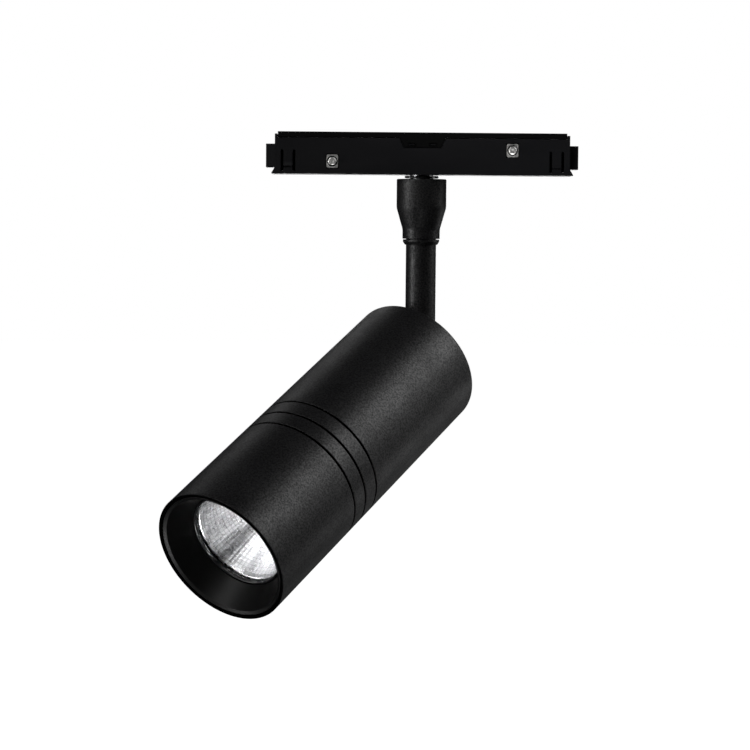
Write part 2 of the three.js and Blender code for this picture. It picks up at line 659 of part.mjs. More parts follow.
// ----------------------------------------------------------------------- head

const FRONT = REAR_FACE - HEAD_LENGTH;
const at = (depth) => FRONT + depth;
const profile = (points) => points.map(([r, depth]) => [r, at(depth)]);
const groove = (i, side) => GROOVES[i] + side * GROOVE_WIDTH / 2;

place(head, 'front_tube', turned(profile([
  [TUBE_BORE, 0], [HEAD_RADIUS - EDGE, 0], [HEAD_RADIUS, EDGE],
  [HEAD_RADIUS, groove(0, -1)], [TUBE_BORE, groove(0, -1)],
]), FINE), BLACK_POWDER);

// Heat sink: two rims flush with the tubes, a spigot on each side, a thick web
// that carries the LED, and a ring fin behind it.
function heatSink() {
  const rim = (front, back) => [[HEAD_RADIUS, front], [HEAD_RADIUS, back]];
  const fin = [
    [SINK_FIN + FIN_THICK, SINK_BACK], [SINK_FIN + FIN_THICK, FIN_END],
    [SINK_FIN, FIN_END], [SINK_FIN, SINK_BACK],
  ];
  const sink = solid(turned(profile([
    [0, SINK_FACE], [SPIGOT_BORE, SINK_FACE], [SPIGOT_BORE, SPIGOT_FRONT],
    [SPIGOT_RADIUS, SPIGOT_FRONT], [SPIGOT_RADIUS, groove(0, 1)],
    ...rim(groove(0, 1), groove(1, -1)),
    [GROOVE_FLOOR, groove(1, -1)], [GROOVE_FLOOR, groove(1, 1)],
    ...rim(groove(1, 1), groove(2, -1)),
    [SPIGOT_RADIUS, groove(2, -1)], [SPIGOT_RADIUS, SPIGOT_BACK],
    [SPIGOT_BORE, SPIGOT_BACK], [SPIGOT_BORE, SINK_BACK],
    ...fin, [0, SINK_BACK],
  ]), FINE));
  const duct = disc(LED_LEAD_DUCT, at(SINK_FACE - OVERRUN), at(SINK_BACK + OVERRUN), TINY);
  const threadHole = disc(THREAD_HOLE.radius, at(SINK_FACE - OVERRUN),
    at(SINK_FACE + THREAD_HOLE.deep), TINY);
  const screwHoles = [-1, 1].map((side) =>
    threadHole.clone().translate(side * HOLDER_SCREWS, 0, 0));
  return cut(sink, duct.translate(0, LED_LEAD_OFFSET, 0), ...screwHoles);
}

place(head, 'heat_sink', heatSink(), BLACK_POWDER);

// Places of the three cap screws, on a circle about the head's axis.
const CAP_SCREWS = [90, 210, 330].map((degrees) => {
  const angle = THREE.MathUtils.degToRad(degrees);
  return [CAP_SCREW_CIRCLE * Math.cos(angle), CAP_SCREW_CIRCLE * Math.sin(angle)];
});

function rearHousing() {
  const seat = HEAD_LENGTH - CAP_THICK - GAP;
  const ledge = seat - CAP_LEDGE.thick;
  const tube = solid(turned(profile([
    [TUBE_BORE, groove(2, 1)], [HEAD_RADIUS, groove(2, 1)], [HEAD_RADIUS, HEAD_LENGTH - EDGE],
    [HEAD_RADIUS - EDGE, HEAD_LENGTH], [TUBE_BORE, HEAD_LENGTH], [TUBE_BORE, seat],
    [CAP_LEDGE.bore, seat], [CAP_LEDGE.bore, ledge], [TUBE_BORE, ledge],
  ]), FINE));
  const hole = disc(CAP_SCREW.shank + GAP, at(ledge - OVERRUN), at(seat + OVERRUN), TINY);
  return cut(tube, ...CAP_SCREWS.map(([x, y]) => hole.clone().translate(x, y, 0)));
}

place(head, 'rear_housing', rearHousing(), BLACK_POWDER);

// Countersunk screw, or with grow the hole that it sits in.
function capScrew(grow) {
  const { head: wide, shank, sunk, rim, cone, length } = CAP_SCREW;
  const top = REAR_FACE - sunk + grow;
  return turned([
    [0, top], [wide + grow, top], [wide + grow, REAR_FACE - rim],
    [shank + grow, REAR_FACE - cone], [shank + grow, REAR_FACE - length],
    [0, REAR_FACE - length],
  ], TINY);
}

function rearCap() {
  const eye = new THREE.Shape();
  eye.moveTo(FORK_ROOT, REAR_FACE - OVERLAP);
  eye.lineTo(FORK_WEB.outer, REAR_FACE - OVERLAP);
  eye.lineTo(FORK_WEB.outer, FORK_WEB.top);
  eye.lineTo(FORK_WEB.inner, FORK_WEB.top);
  eye.lineTo(EYE_RADIUS, 0);
  eye.absarc(0, 0, EYE_RADIUS, 0, Math.PI);
  eye.closePath();
  const body = join(
    disc(CAP_RADIUS, REAR_FACE - CAP_THICK, REAR_FACE, FINE),
    plateX(eye, FORK_INNER, FORK_OUTER),
    plateX(eye, -FORK_OUTER, -FORK_INNER),
    box(-FORK_OUTER, FORK_OUTER, FORK_WEB.inner, FORK_WEB.outer,
      REAR_FACE - OVERLAP, FORK_WEB.top),
  );
  return cut(body,
    boltHole(FORK_OUTER),
    disc(CAP_DUCT.radius, REAR_FACE - CAP_THICK - OVERRUN, REAR_FACE + OVERRUN, TINY)
      .translate(0, CAP_DUCT.y, 0),
    ...CAP_SCREWS.map(([x, y]) => capScrew(GAP).translate(x, y, 0)));
}

place(head, 'rear_cap', rearCap(), BLACK_POWDER);
CAP_SCREWS.forEach(([x, y], i) => {
  place(head, `cap_screw_${i + 1}`, capScrew(0).translate(x, y, 0), STEEL);
});

// Hinge bolt through the fork and the tongue, its nut, and a washer on each side.
const NUT_START = FORK_OUTER + GAP;

place(head, 'hinge_bolt', join(
  alongX(disc(BOLT_HEAD, -NUT_START - BOLT_HEAD_THICK, -NUT_START, SMALL)),
  alongX(disc(BOLT_RADIUS, -NUT_START - OVERLAP, NUT_START + BOLT_TAIL, SMALL)),
), STEEL);
place(head, 'hinge_nut', cut(
  solid(alongX(hexagon(HINGE_NUT.flats, NUT_START, NUT_START + HINGE_NUT.thick))),
  boltHole(NUT_START + HINGE_NUT.thick),
), STEEL);
for (const [side, sign] of SIDES) {
  const from = sign > 0 ? TONGUE_HALF_THICK + GAP : -(FORK_INNER - GAP);
  place(head, `hinge_washer_${side}`,
    alongX(ring(BOLT_RADIUS + BOLT_PLAY, EYE_RADIUS - WASHER_SHY,
      from, from + HINGE_WASHER_THICK, SMALL)), STEEL);
}

// Driver in the rear housing, on a tray along the head's axis.
function driverTray() {
  const { half, floor, floorThick, lip, lipThick } = TRAY;
  return join(
    box(-half, half, floor, floor + floorThick, TRAY_FRONT, TRAY_BACK),
    ...SIDES.map(([, sign]) => sideBox(sign, half - lipThick, half,
      lip, floor + OVERLAP, TRAY_FRONT, TRAY_BACK)),
  );
}

place(head, 'driver_tray', driverTray(), BLACK_MATTE);
place(head, 'driver_board', box(-DRIVER_BOARD.half, DRIVER_BOARD.half,
  DRIVER_BOARD.y, DRIVER_BOARD.y + DRIVER_BOARD.thick,
  DRIVER_BOARD.front, DRIVER_BOARD.back), BOARD);
place(head, 'driver_choke', alongY(disc(DRIVER_CHOKE.radius, DRIVER_CHOKE.y,
  DRIVER_CHOKE.y + DRIVER_CHOKE.height, SMALL)).translate(0, 0, DRIVER_CHOKE.z), BLACK_MATTE);
place(head, 'driver_capacitor', disc(DRIVER_CAPACITOR.radius, DRIVER_CAPACITOR.front,
  DRIVER_CAPACITOR.back, SMALL).translate(DRIVER_CAPACITOR.x, DRIVER_CAPACITOR.y, 0),
BLACK_GLOSS);

// Leads from the cap's duct to the board, and from the LED back to it.
place(head, 'head_leads', lead(HEAD_LEAD_RADIUS, [0, CAP_DUCT.y, REAR_FACE - 0.7],
  [0, CAP_DUCT.y, -12], [2, -3, -17], [5, 3.5, -22]), CABLE);
place(head, 'led_leads', lead(LED_LEAD_RADIUS, [0, LED_LEAD_OFFSET, at(48.6)],
  [0, LED_LEAD_OFFSET, at(62)], [0, LED_LEAD_OFFSET, -68], [-4, 4.5, -62.5],
  [-6, 3.8, -55]), CABLE);

// LED on its pad, under a holder with two screws.
function squarePlate({ half, front, back }) {
  return box(-half, half, -half, half, at(front), at(back));
}

place(head, 'thermal_pad', squarePlate(THERMAL_PAD), RUBBER);
place(head, 'cob_led', join(squarePlate(COB),
  disc(COB.emitter, at(COB.emitterFront), at(COB.front + 0.1), SMALL)), PHOSPHOR);

function ledHolder() {
  const { bore, radius, front, back } = HOLDER;
  const ringShape = solid(turned(profile([
    [bore, front], [radius, front], [radius, back], [HOLDER_RECESS.radius, back],
    [HOLDER_RECESS.radius, HOLDER_RECESS.front], [bore, HOLDER_RECESS.front],
  ]), SMALL));
  const hole = disc(HOLDER_SCREW.hole, at(front - OVERRUN), at(back + OVERRUN), TINY);
  return cut(ringShape, ...[-1, 1].map((side) =>
    hole.clone().translate(side * HOLDER_SCREWS, 0, 0)));
}

place(head, 'cob_holder', ledHolder(), BLACK_MATTE);
[-1, 1].forEach((side, i) => {
  const { head: wide, shank, front, seat, end } = HOLDER_SCREW;
  const screw = join(disc(wide, at(front), at(seat), TINY),
    disc(shank, at(seat - OVERLAP), at(end), TINY));
  place(head, `holder_screw_${i + 1}`,
    geometryOf(screw).translate(side * HOLDER_SCREWS, 0, 0), STEEL);
});

// Optics: sleeve, parabolic reflector, glass, its ring and the front baffle.
place(head, 'optic_sleeve', turned(profile([
  [SLEEVE_BORE, GLASS.front], [SLEEVE_RADIUS, GLASS.front],
  [SLEEVE_RADIUS, SINK_FACE - GAP], [SLEEVE_BORE, SINK_FACE - GAP],
]), MEDIUM), BLACK_MATTE);

function reflector() {
  const { mouth, mouthRadius, foot, footRadius, wall, flange, rows } = REFLECTOR;
  const inner = Array.from({ length: rows + 1 }, (_, i) => {
    const t = i / rows;
    const radius = Math.sqrt(mouthRadius ** 2 * (1 - t) + footRadius ** 2 * t);
    return [radius, mouth + (foot - mouth) * t];
  });
  const outer = inner.slice(1).reverse().map(([radius, depth]) => [radius + wall, depth]);
  return turned(profile([
    ...inner, ...outer, [mouthRadius + wall / 2, mouth + wall], [flange, mouth + wall],
    [flange, mouth],
  ]), SMALL);
}

place(head, 'reflector', reflector(), MIRROR);
place(head, 'glass_lens', disc(GLASS.radius, at(GLASS.front), at(GLASS.front + GLASS.thick),
  MEDIUM), CLEAR);

// Ring that holds the glass, with a raised bead round its opening.
function lensRing() {
  const face = LENS_RING_FACE;
  const bead = face - LENS_BEAD.proud;
  const skirtInner = LENS_RING_RADIUS - LENS_RING_SKIRT.wall;
  return turned(profile([
    [LENS_OPENING, bead + LENS_BEAD.round], [LENS_OPENING + LENS_BEAD.round, bead],
    [LENS_OPENING + LENS_BEAD.width, bead], [LENS_OPENING + LENS_BEAD.width, face],
    [LENS_RING_RADIUS, face], [LENS_RING_RADIUS, LENS_RING_SKIRT.end],
    [skirtInner, LENS_RING_SKIRT.end], [skirtInner, face + LENS_RING_THICK],
    [LENS_OPENING, face + LENS_RING_THICK],
  ]), MEDIUM);
}

place(head, 'lens_ring', lensRing(), BLACK_GLOSS);

function frontBaffle() {
  const skirtOuter = TUBE_BORE - GAP;
  const skirtInner = skirtOuter - BAFFLE_SKIRT_WALL;
  const slope = (BAFFLE_LIP.radius - BAFFLE_THROAT.radius)
    / (BAFFLE_THROAT.depth - BAFFLE_LIP.depth);
  const skirtMeetsCone = BAFFLE_LIP.depth
    + (BAFFLE_LIP.radius + BAFFLE_WALL - skirtInner) / slope;
  return turned(profile([
    [skirtOuter, GAP], [BAFFLE_LIP.radius, BAFFLE_LIP.depth],
    [BAFFLE_THROAT.radius, BAFFLE_THROAT.depth],
    [BAFFLE_THROAT.radius, BAFFLE_THROAT.depth + GAP],
    [BAFFLE_THROAT.radius + BAFFLE_WALL, BAFFLE_THROAT.depth + GAP],
    [skirtInner, skirtMeetsCone], [skirtInner, BAFFLE_SKIRT_END],
    [skirtOuter, BAFFLE_SKIRT_END],
  ]), FINE);
}

place(head, 'front_baffle', frontBaffle(), BLACK_MATTE);

// ------------------------------------------------------------------- assembly

head.position.set(0, 0, PIVOT_Z);
head.rotation.x = -THREE.MathUtils.degToRad(REST_TILT);
stem.rotation.z = THREE.MathUtils.degToRad(REST_PAN);
stem.add(head);
adapter.add(stem);

export default adapter;
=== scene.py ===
import json
import math

import bmesh
import bpy
from mathutils import Matrix, Vector


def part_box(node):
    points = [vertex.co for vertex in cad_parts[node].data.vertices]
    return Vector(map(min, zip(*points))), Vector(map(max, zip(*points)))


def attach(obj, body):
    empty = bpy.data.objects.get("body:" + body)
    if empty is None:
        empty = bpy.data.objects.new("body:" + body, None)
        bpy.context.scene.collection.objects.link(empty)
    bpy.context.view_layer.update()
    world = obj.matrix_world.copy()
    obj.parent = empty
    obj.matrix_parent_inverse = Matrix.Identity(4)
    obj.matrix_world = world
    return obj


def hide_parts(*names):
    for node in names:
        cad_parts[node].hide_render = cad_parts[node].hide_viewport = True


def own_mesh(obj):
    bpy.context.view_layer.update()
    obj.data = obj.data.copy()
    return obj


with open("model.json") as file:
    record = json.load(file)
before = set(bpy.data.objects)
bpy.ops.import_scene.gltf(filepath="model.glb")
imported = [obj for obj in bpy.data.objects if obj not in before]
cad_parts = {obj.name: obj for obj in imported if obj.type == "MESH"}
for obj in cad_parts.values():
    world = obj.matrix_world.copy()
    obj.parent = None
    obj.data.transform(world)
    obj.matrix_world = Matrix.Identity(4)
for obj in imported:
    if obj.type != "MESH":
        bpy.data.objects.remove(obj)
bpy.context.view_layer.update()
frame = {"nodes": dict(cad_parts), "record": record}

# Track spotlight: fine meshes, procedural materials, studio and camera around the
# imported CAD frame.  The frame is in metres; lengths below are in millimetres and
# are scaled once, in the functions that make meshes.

MM = 0.001

# ------------------------------------------------------------------ dimensions

REST_PAN = -36.1          # degrees about +Z from facing -Y
REST_TILT = 61.9          # degrees up from straight down
PIVOT_Z = -90.95
GAP = 0.3                 # air between pieces that touch on the real object
OVERLAP = 0.5             # how far joined or cut meshes reach into each other

# Adapter
ADAPTER_FRONT = -10.0
ADAPTER_BOTTOM = -16.85
CONTACTS = {"left": (-36.0, -11.7), "right": (36.0, -6.9)}
PLATE_WIDTH = 4.6
PLATE_HEIGHT = 5.3
PLATE_THICK = 0.6
PLATE_HOLE = 2.12
PLATE_SQUARENESS = 10.0   # power of the plate's outline; a higher one is squarer
PIN_RADIUS = 1.65
PIN_TIP = -11.3
PIN_COLLAR = 2.3
PIN_COLLAR_FRONT = -6.9
PIN_COLLAR_BACK = -6.1
CONTACT_SPRING = {"radius": 1.5, "wire": 0.25, "turns": 3}
LATCH_SPRING = {"radius": 2.2, "wire": 0.3, "turns": 4}

# Neck and stem
CUP_TOP = -18.43
CUP_RADIUS = 10.05
CUP_TAPER_TOP = -30.0
CUP_TAPER_FOOT = -38.7
CUP_FOOT_RADIUS = 7.55
CUP_BOTTOM = -42.5
CUP_CEILING = -21.4
CUP_POCKET_FOOT = -26.9
CUP_POCKET_RADIUS = 8.2
NECK_BORE = 6.4
COLLAR_RADIUS = 7.35
COLLAR_TOP = -42.8
COLLAR_TAPER_TOP = -43.7
COLLAR_BOTTOM = -44.9
STEM_RADIUS = 6.1
STEM_BORE = 4.2
STEM_TOP = -25.0
STEM_FOOT = 15.0          # above the pivot
STUD_RADIUS = 4.7
STUD_BORE = 3.1
STUD_TOP = -9.6
STUD_FLANGE = 7.6
STUD_FLANGE_THICK = 2.7
WAVE_INNER = 5.2
WAVE_OUTER = 6.85
WAVE_THICK = 0.35
WAVE_HEIGHT = 0.4
WAVES = 3

# Hinge, measured from the pivot
EYE_RADIUS = 4.4
BOLT_RADIUS = 2.0
BOLT_HEAD = 3.6
BOLT_HEAD_THICK = 1.9
BOLT_SOCKET = 1.3
BOLT_SOCKET_DEEP = 0.7
BOLT_TAIL = 2.0
FORK_OUTER = 7.1
FORK_INNER = 3.6
FORK_ROOT = -6.5
WEB_INNER = 4.7
WEB_OUTER = 7.2
WEB_TOP = 5.0
BOLT_HOLE = 2.25
TONGUE_HALF = 2.5
SHOULDER = 13.7
SEAT = 14.7
PLUG_RADIUS = 3.9
PLUG_END = 27.0
DUCT_RADIUS = 1.7
DUCT_FOOT = 6.0
DUCT_TOP = 11.0
WASHER_INSIDE = 2.8
WASHER_THICK = 0.5
WASHER_RADIUS = 4.2

# Head, along its axis; depths are counted back from the front rim
REAR_FACE = -4.93
HEAD_LENGTH = 137.5
FRONT = REAR_FACE - HEAD_LENGTH
HEAD_RADIUS = 27.5
TUBE_BORE = 26.25
GROOVE_WIDTH = 0.85
GROOVES = (48.75, 56.3, 64.0)
GROOVE_FLOOR = 26.3
GROOVE_EDGE = 0.22
SPIGOT_RADIUS = 25.95
SPIGOT_BORE = 24.0
SPIGOT_FRONT = 42.0
SPIGOT_BACK = 70.0
SINK_FACE = 50.0
SINK_BACK = 61.0
SINK_FIN = (14.0, 16.0)
FIN_END = 76.0
LIP_RADIUS = 24.6
LIP_DEPTH = 1.0
THROAT_RADIUS = 19.75
THROAT_DEPTH = 10.7
BAFFLE_BACK = 11.0
BAFFLE_THICK = 1.2
BAFFLE_SKIRT_END = 8.0
BAFFLE_OUTER = 25.95
BAFFLE_INNER = 24.95
BAFFLE_FRONT = 0.3
LENS_OPENING = 18.7
LENS_RING_FACE = 11.3
LENS_RING_RADIUS = 22.7
LENS_RING_LENGTH = 6.5
LENS_RING_WALL = 1.1
LENS_RING_THICK = 0.8
LENS_BEAD = 0.7
LENS_BEAD_PROUD = 0.5
GLASS_FRONT = 12.4
GLASS_BACK = 13.4
GLASS_RADIUS = 19.7
MOUTH_DEPTH = 13.7
MOUTH_RADIUS = 18.6
MOUTH_ROUND = 0.45
LIP_STEPS = 8
FOOT_DEPTH = 45.2
FOOT_RADIUS = 6.2
REFLECTOR_WALL = 0.8
REFLECTOR_FLANGE = 19.7
FACETS_AROUND = 72
FACET_ROWS = 20
# Painted reflection: darker grey bands in the reflector's colour, in a strip along one side.
REFLECTION_STRIP = (129.0, 148.0)      # degrees round the head's axis
REFLECTION_BANDS = ((0.04, 0.6), (0.08, 1.0), (0.12, 0.45), (0.17, 1.0), (0.32, 1.0),
                  (0.38, 0.74), (0.78, 0.68), (0.83, 1.0))
HOLDER_BORE = 7.6
HOLDER_RADIUS = 16.0
HOLDER_RECESS = 13.0
HOLDER_FRONT = 45.5
HOLDER_SHELF = 47.2
HOLDER_BACK = 49.7
CAP_RADIUS = 25.95
CAP_THICK = 3.0
SEAT_BORE = 18.5          # ring inside the barrel that the cap is screwed to
SEAT_THICK = 3.2
CAP_SCREW_CIRCLE = 22.0
SCREW_HEAD = 2.8
SCREW_HEAD_EDGE = 0.4     # depth at which the countersunk head starts to taper
SCREW_NECK = 2.0          # depth at which it has become the shank
SCREW_SHANK = 1.3
SCREW_LENGTH = 8.0
SCREW_SUNK = 0.1
SCREW_SOCKET = 1.0
SCREW_SOCKET_FOOT = 1.3
CAP_DUCT_Y = -9.0
CAP_DUCT_RADIUS = 2.2

# ------------------------------------------------------------- frames of places

ROW = Matrix.Identity(4)
STEM = Matrix.Rotation(math.radians(REST_PAN), 4, "Z")
HEAD = (STEM @ Matrix.Translation((0, 0, PIVOT_Z))
        @ Matrix.Rotation(math.radians(-REST_TILT), 4, "X"))
ALONG_X = Matrix.Rotation(math.pi / 2, 4, "Y")
ALONG_Y = Matrix.Rotation(-math.pi / 2, 4, "X")


def depth(value):
    """Height in the head's frame of a depth behind the front rim."""
    return FRONT + value


# -------------------------------------------------------------------- materials

def new_material(name, color, roughness, metallic=0.0, specular=0.5):
    material = bpy.data.materials.new(name)
    material.use_nodes = True
    shader = material.node_tree.nodes["Principled BSDF"]
    shader.inputs["Base Color"].default_value = (*color, 1.0)
    shader.inputs["Roughness"].default_value = roughness
    shader.inputs["Metallic"].default_value = metallic
    shader.inputs["Specular IOR Level"].default_value = specular
    return material, material.node_tree, shader


def noise(tree, scale, detail=3.0, stretch=(1, 1, 1), roughness=0.5):
    """Noise over object coordinates; scale is in cycles per metre."""
    coordinates = tree.nodes.new("ShaderNodeTexCoord")
    mapping = tree.nodes.new("ShaderNodeMapping")
    texture = tree.nodes.new("ShaderNodeTexNoise")
    mapping.inputs["Scale"].default_value = stretch
    texture.inputs["Scale"].default_value = scale
    texture.inputs["Detail"].default_value = detail
    texture.inputs["Roughness"].default_value = roughness
    tree.links.new(coordinates.outputs["Object"], mapping.inputs["Vector"])
    tree.links.new(mapping.outputs["Vector"], texture.inputs["Vector"])
    return texture.outputs["Fac"]


def ramp(tree, source, low, high, start=0.3, end=0.7):
    """Maps a 0..1 pattern to a value between low and high."""
    node = tree.nodes.new("ShaderNodeMapRange")
    node.inputs["From Min"].default_value = start
    node.inputs["From Max"].default_value = end
    node.inputs["To Min"].default_value = low
    node.inputs["To Max"].default_value = high
    tree.links.new(source, node.inputs["Value"])
    return node.outputs["Result"]


def tint(tree, source, dark, light, start=0.3, end=0.7):
    """Colour between dark and light by a 0..1 pattern."""
    node = tree.nodes.new("ShaderNodeValToRGB")
    node.color_ramp.elements[0].position = start
    node.color_ramp.elements[1].position = end
    node.color_ramp.elements[0].color = (*dark, 1.0)
    node.color_ramp.elements[1].color = (*light, 1.0)
    tree.links.new(source, node.inputs["Fac"])
    return node.outputs["Color"]


def bump(tree, shader, heights, strength=0.5, distance=0.05):
    """Adds the patterns in heights as bumps, one on top of the other."""
    below = None
    for source, share in heights:
        node = tree.nodes.new("ShaderNodeBump")
        node.inputs["Strength"].default_value = strength * share
        node.inputs["Distance"].default_value = distance * MM
        tree.links.new(source, node.inputs["Height"])
        if below:
            tree.links.new(below, node.inputs["Normal"])
        below = node.outputs["Normal"]
    tree.links.new(below, shader.inputs["Normal"])


def math_node(tree, operation, first, second=None):
    """One arithmetic node; either value may be a socket or a number."""
    node = tree.nodes.new("ShaderNodeMath")
    node.operation = operation
    for socket, value in zip(node.inputs, (first, second)):
        if value is None:
            continue
        if isinstance(value, (int, float)):
            socket.default_value = value
        else:
            tree.links.new(value, socket)
    return node.outputs["Value"]


def mix_node(tree, blend, factor, first, second):
    """Blends two colours; factor is a socket or a number."""
    node = tree.nodes.new("ShaderNodeMix")
    node.data_type = "RGBA"
    node.blend_type = blend
    for name, value in (("Factor", factor), ("A", first), ("B", second)):
        socket = [s for s in node.inputs if s.name == name and s.enabled][0]
        if isinstance(value, (int, float, tuple)):
            socket.default_value = value
        else:
            tree.links.new(value, socket)
    return [s for s in node.outputs if s.enabled][0]


def head_axes(tree):
    """Separated coordinates in the head's frame, in millimetres."""
    coordinates = tree.nodes.new("ShaderNodeTexCoord")
    along_head = tree.nodes.new("ShaderNodeMapping")
    along_head.vector_type = "TEXTURE"
    along_head.inputs["Location"].default_value = HEAD.translation * MM
    along_head.inputs["Rotation"].default_value = HEAD.to_euler()
    along_head.inputs["Scale"].default_value = (MM, MM, MM)
    axes = tree.nodes.new("ShaderNodeSeparateXYZ")
    tree.links.new(coordinates.outputs["Object"], along_head.inputs["Vector"])
    tree.links.new(along_head.outputs["Vector"], axes.inputs["Vector"])
    return axes.outputs


def powder_coat(name, shaded_grooves=False):
    """Black powder coat with a fine sand texture that sparkles in the light.

    With shaded_grooves set, colour and sheen are painted dark below the barrel's outer surface:
    painted shade in its grooves and on its rims."""
    material, tree, shader = new_material(name, (0.013, 0.013, 0.014), 0.44)
    clumps = noise(tree, 800, detail=2.0)
    grain = noise(tree, 1500, detail=2.0, roughness=0.7)
    cloud = noise(tree, 90, detail=2.0)
    color = tint(tree, grain, (0.009, 0.009, 0.0095), (0.017, 0.017, 0.018))
    sheen = ramp(tree, grain, 0.25, 0.78, 0.38, 0.62)
    if shaded_grooves:
        axes = head_axes(tree)
        radius = math_node(tree, "SQRT", math_node(
            tree, "ADD", math_node(tree, "POWER", axes["X"], 2),
            math_node(tree, "POWER", axes["Y"], 2)))
        # Painted shade: below the outer surface the colour goes near black and the sheen fades.
        outside = ramp(tree, radius, 0.0, 1.0, HEAD_RADIUS - 0.14, HEAD_RADIUS - 0.02)
        color = mix_node(tree, "MIX", outside, (0.001, 0.001, 0.001, 1), color)
        sheen = math_node(tree, "MULTIPLY", sheen, outside)
    tree.links.new(color, shader.inputs["Base Color"])
    tree.links.new(sheen, shader.inputs["Specular IOR Level"])
    tree.links.new(ramp(tree, cloud, 0.40, 0.48), shader.inputs["Roughness"])
    bump(tree, shader, [(clumps, 0.5), (grain, 1.0)], strength=0.7, distance=0.07)
    return material


def moulded_plastic():
    """Smooth black polycarbonate with a faint mould texture."""
    material, tree, shader = new_material("moulded_plastic", (0.012, 0.012, 0.0135), 0.38)
    skin = noise(tree, 2600, detail=2.0)
    flow = noise(tree, 45, detail=3.0, stretch=(0.35, 1, 1))
    tree.links.new(tint(tree, flow, (0.0098, 0.0098, 0.0115), (0.0135, 0.0135, 0.0155)),
                   shader.inputs["Base Color"])
    tree.links.new(ramp(tree, flow, 0.34, 0.44), shader.inputs["Roughness"])
    bump(tree, shader, [(skin, 1.0)], strength=0.12, distance=0.02)
    return material


def cover_plastic():
    """Duller black plastic of the strip on top of the adapter."""
    material, tree, shader = new_material("cover_plastic", (0.003, 0.003, 0.003), 0.5,
                                          specular=0.2)
    skin = noise(tree, 2600, detail=2.0)
    tree.links.new(ramp(tree, skin, 0.46, 0.56), shader.inputs["Roughness"])
    bump(tree, shader, [(skin, 1.0)], strength=0.15, distance=0.02)
    return material


def matte_black():
    """Flat black of the glare baffle, finely stippled."""
    material, tree, shader = new_material("matte_black", (0.0015, 0.0015, 0.0015), 0.42,
                                          specular=0.3)
    stipple = noise(tree, 2400, detail=2.0)
    tree.links.new(tint(tree, stipple, (0.0008, 0.0008, 0.0008), (0.0022, 0.0022, 0.0023)),
                   shader.inputs["Base Color"])
    tree.links.new(ramp(tree, stipple, 0.36, 0.48), shader.inputs["Roughness"])
    bump(tree, shader, [(stipple, 1.0)], strength=0.6, distance=0.06)
    return material


def gloss_black():
    """Glossy black of the ring round the glass."""
    material, tree, shader = new_material("gloss_black", (0.006, 0.006, 0.0065), 0.14)
    haze = noise(tree, 300, detail=2.0)
    tree.links.new(ramp(tree, haze, 0.12, 0.15), shader.inputs["Roughness"])
    return material


def nickel():
    """Bright nickel plate with fine wear, and painted shade that turns it near black behind the
    adapter's face.
    """
    material, tree, shader = new_material("nickel", (0.93, 0.92, 0.90), 0.45, metallic=1.0)
    wear = noise(tree, 1400, detail=4.0)
    coordinates = tree.nodes.new("ShaderNodeTexCoord")
    axes = tree.nodes.new("ShaderNodeSeparateXYZ")
    tree.links.new(coordinates.outputs["Object"], axes.inputs["Vector"])
    # Painted shade: everything behind the adapter's front face goes near black.
    shade_behind_face = ramp(tree, axes.outputs["Y"], 0.0, 1.0, (ADAPTER_FRONT + 0.02) * MM,
                  (ADAPTER_FRONT + 0.2) * MM)
    bright = tint(tree, wear, (0.88, 0.87, 0.85), (0.97, 0.96, 0.94))
    tree.links.new(mix_node(tree, "MIX", shade_behind_face, bright, (0.02, 0.02, 0.02, 1)),
                   shader.inputs["Base Color"])
    tree.links.new(ramp(tree, wear, 0.38, 0.52), shader.inputs["Roughness"])
    return material


def zinc_steel():
    """Zinc-plated steel, faintly brushed."""
    material, tree, shader = new_material("zinc_steel", (0.50, 0.50, 0.51), 0.34, metallic=1.0)
    brush = noise(tree, 1500, detail=3.0, stretch=(0.08, 1, 1))
    tree.links.new(tint(tree, brush, (0.42, 0.42, 0.43), (0.58, 0.58, 0.60)),
                   shader.inputs["Base Color"])
    tree.links.new(ramp(tree, brush, 0.26, 0.44), shader.inputs["Roughness"])
    bump(tree, shader, [(brush, 1.0)], strength=0.15, distance=0.02)
    return material


def spring_steel():
    """Blackened spring steel."""
    material, tree, shader = new_material("spring_steel", (0.06, 0.06, 0.062), 0.42, metallic=1.0)
    scale = noise(tree, 1200, detail=3.0)
    tree.links.new(tint(tree, scale, (0.03, 0.03, 0.031), (0.10, 0.10, 0.104)),
                   shader.inputs["Base Color"])
    tree.links.new(ramp(tree, scale, 0.34, 0.5), shader.inputs["Roughness"])
    return material


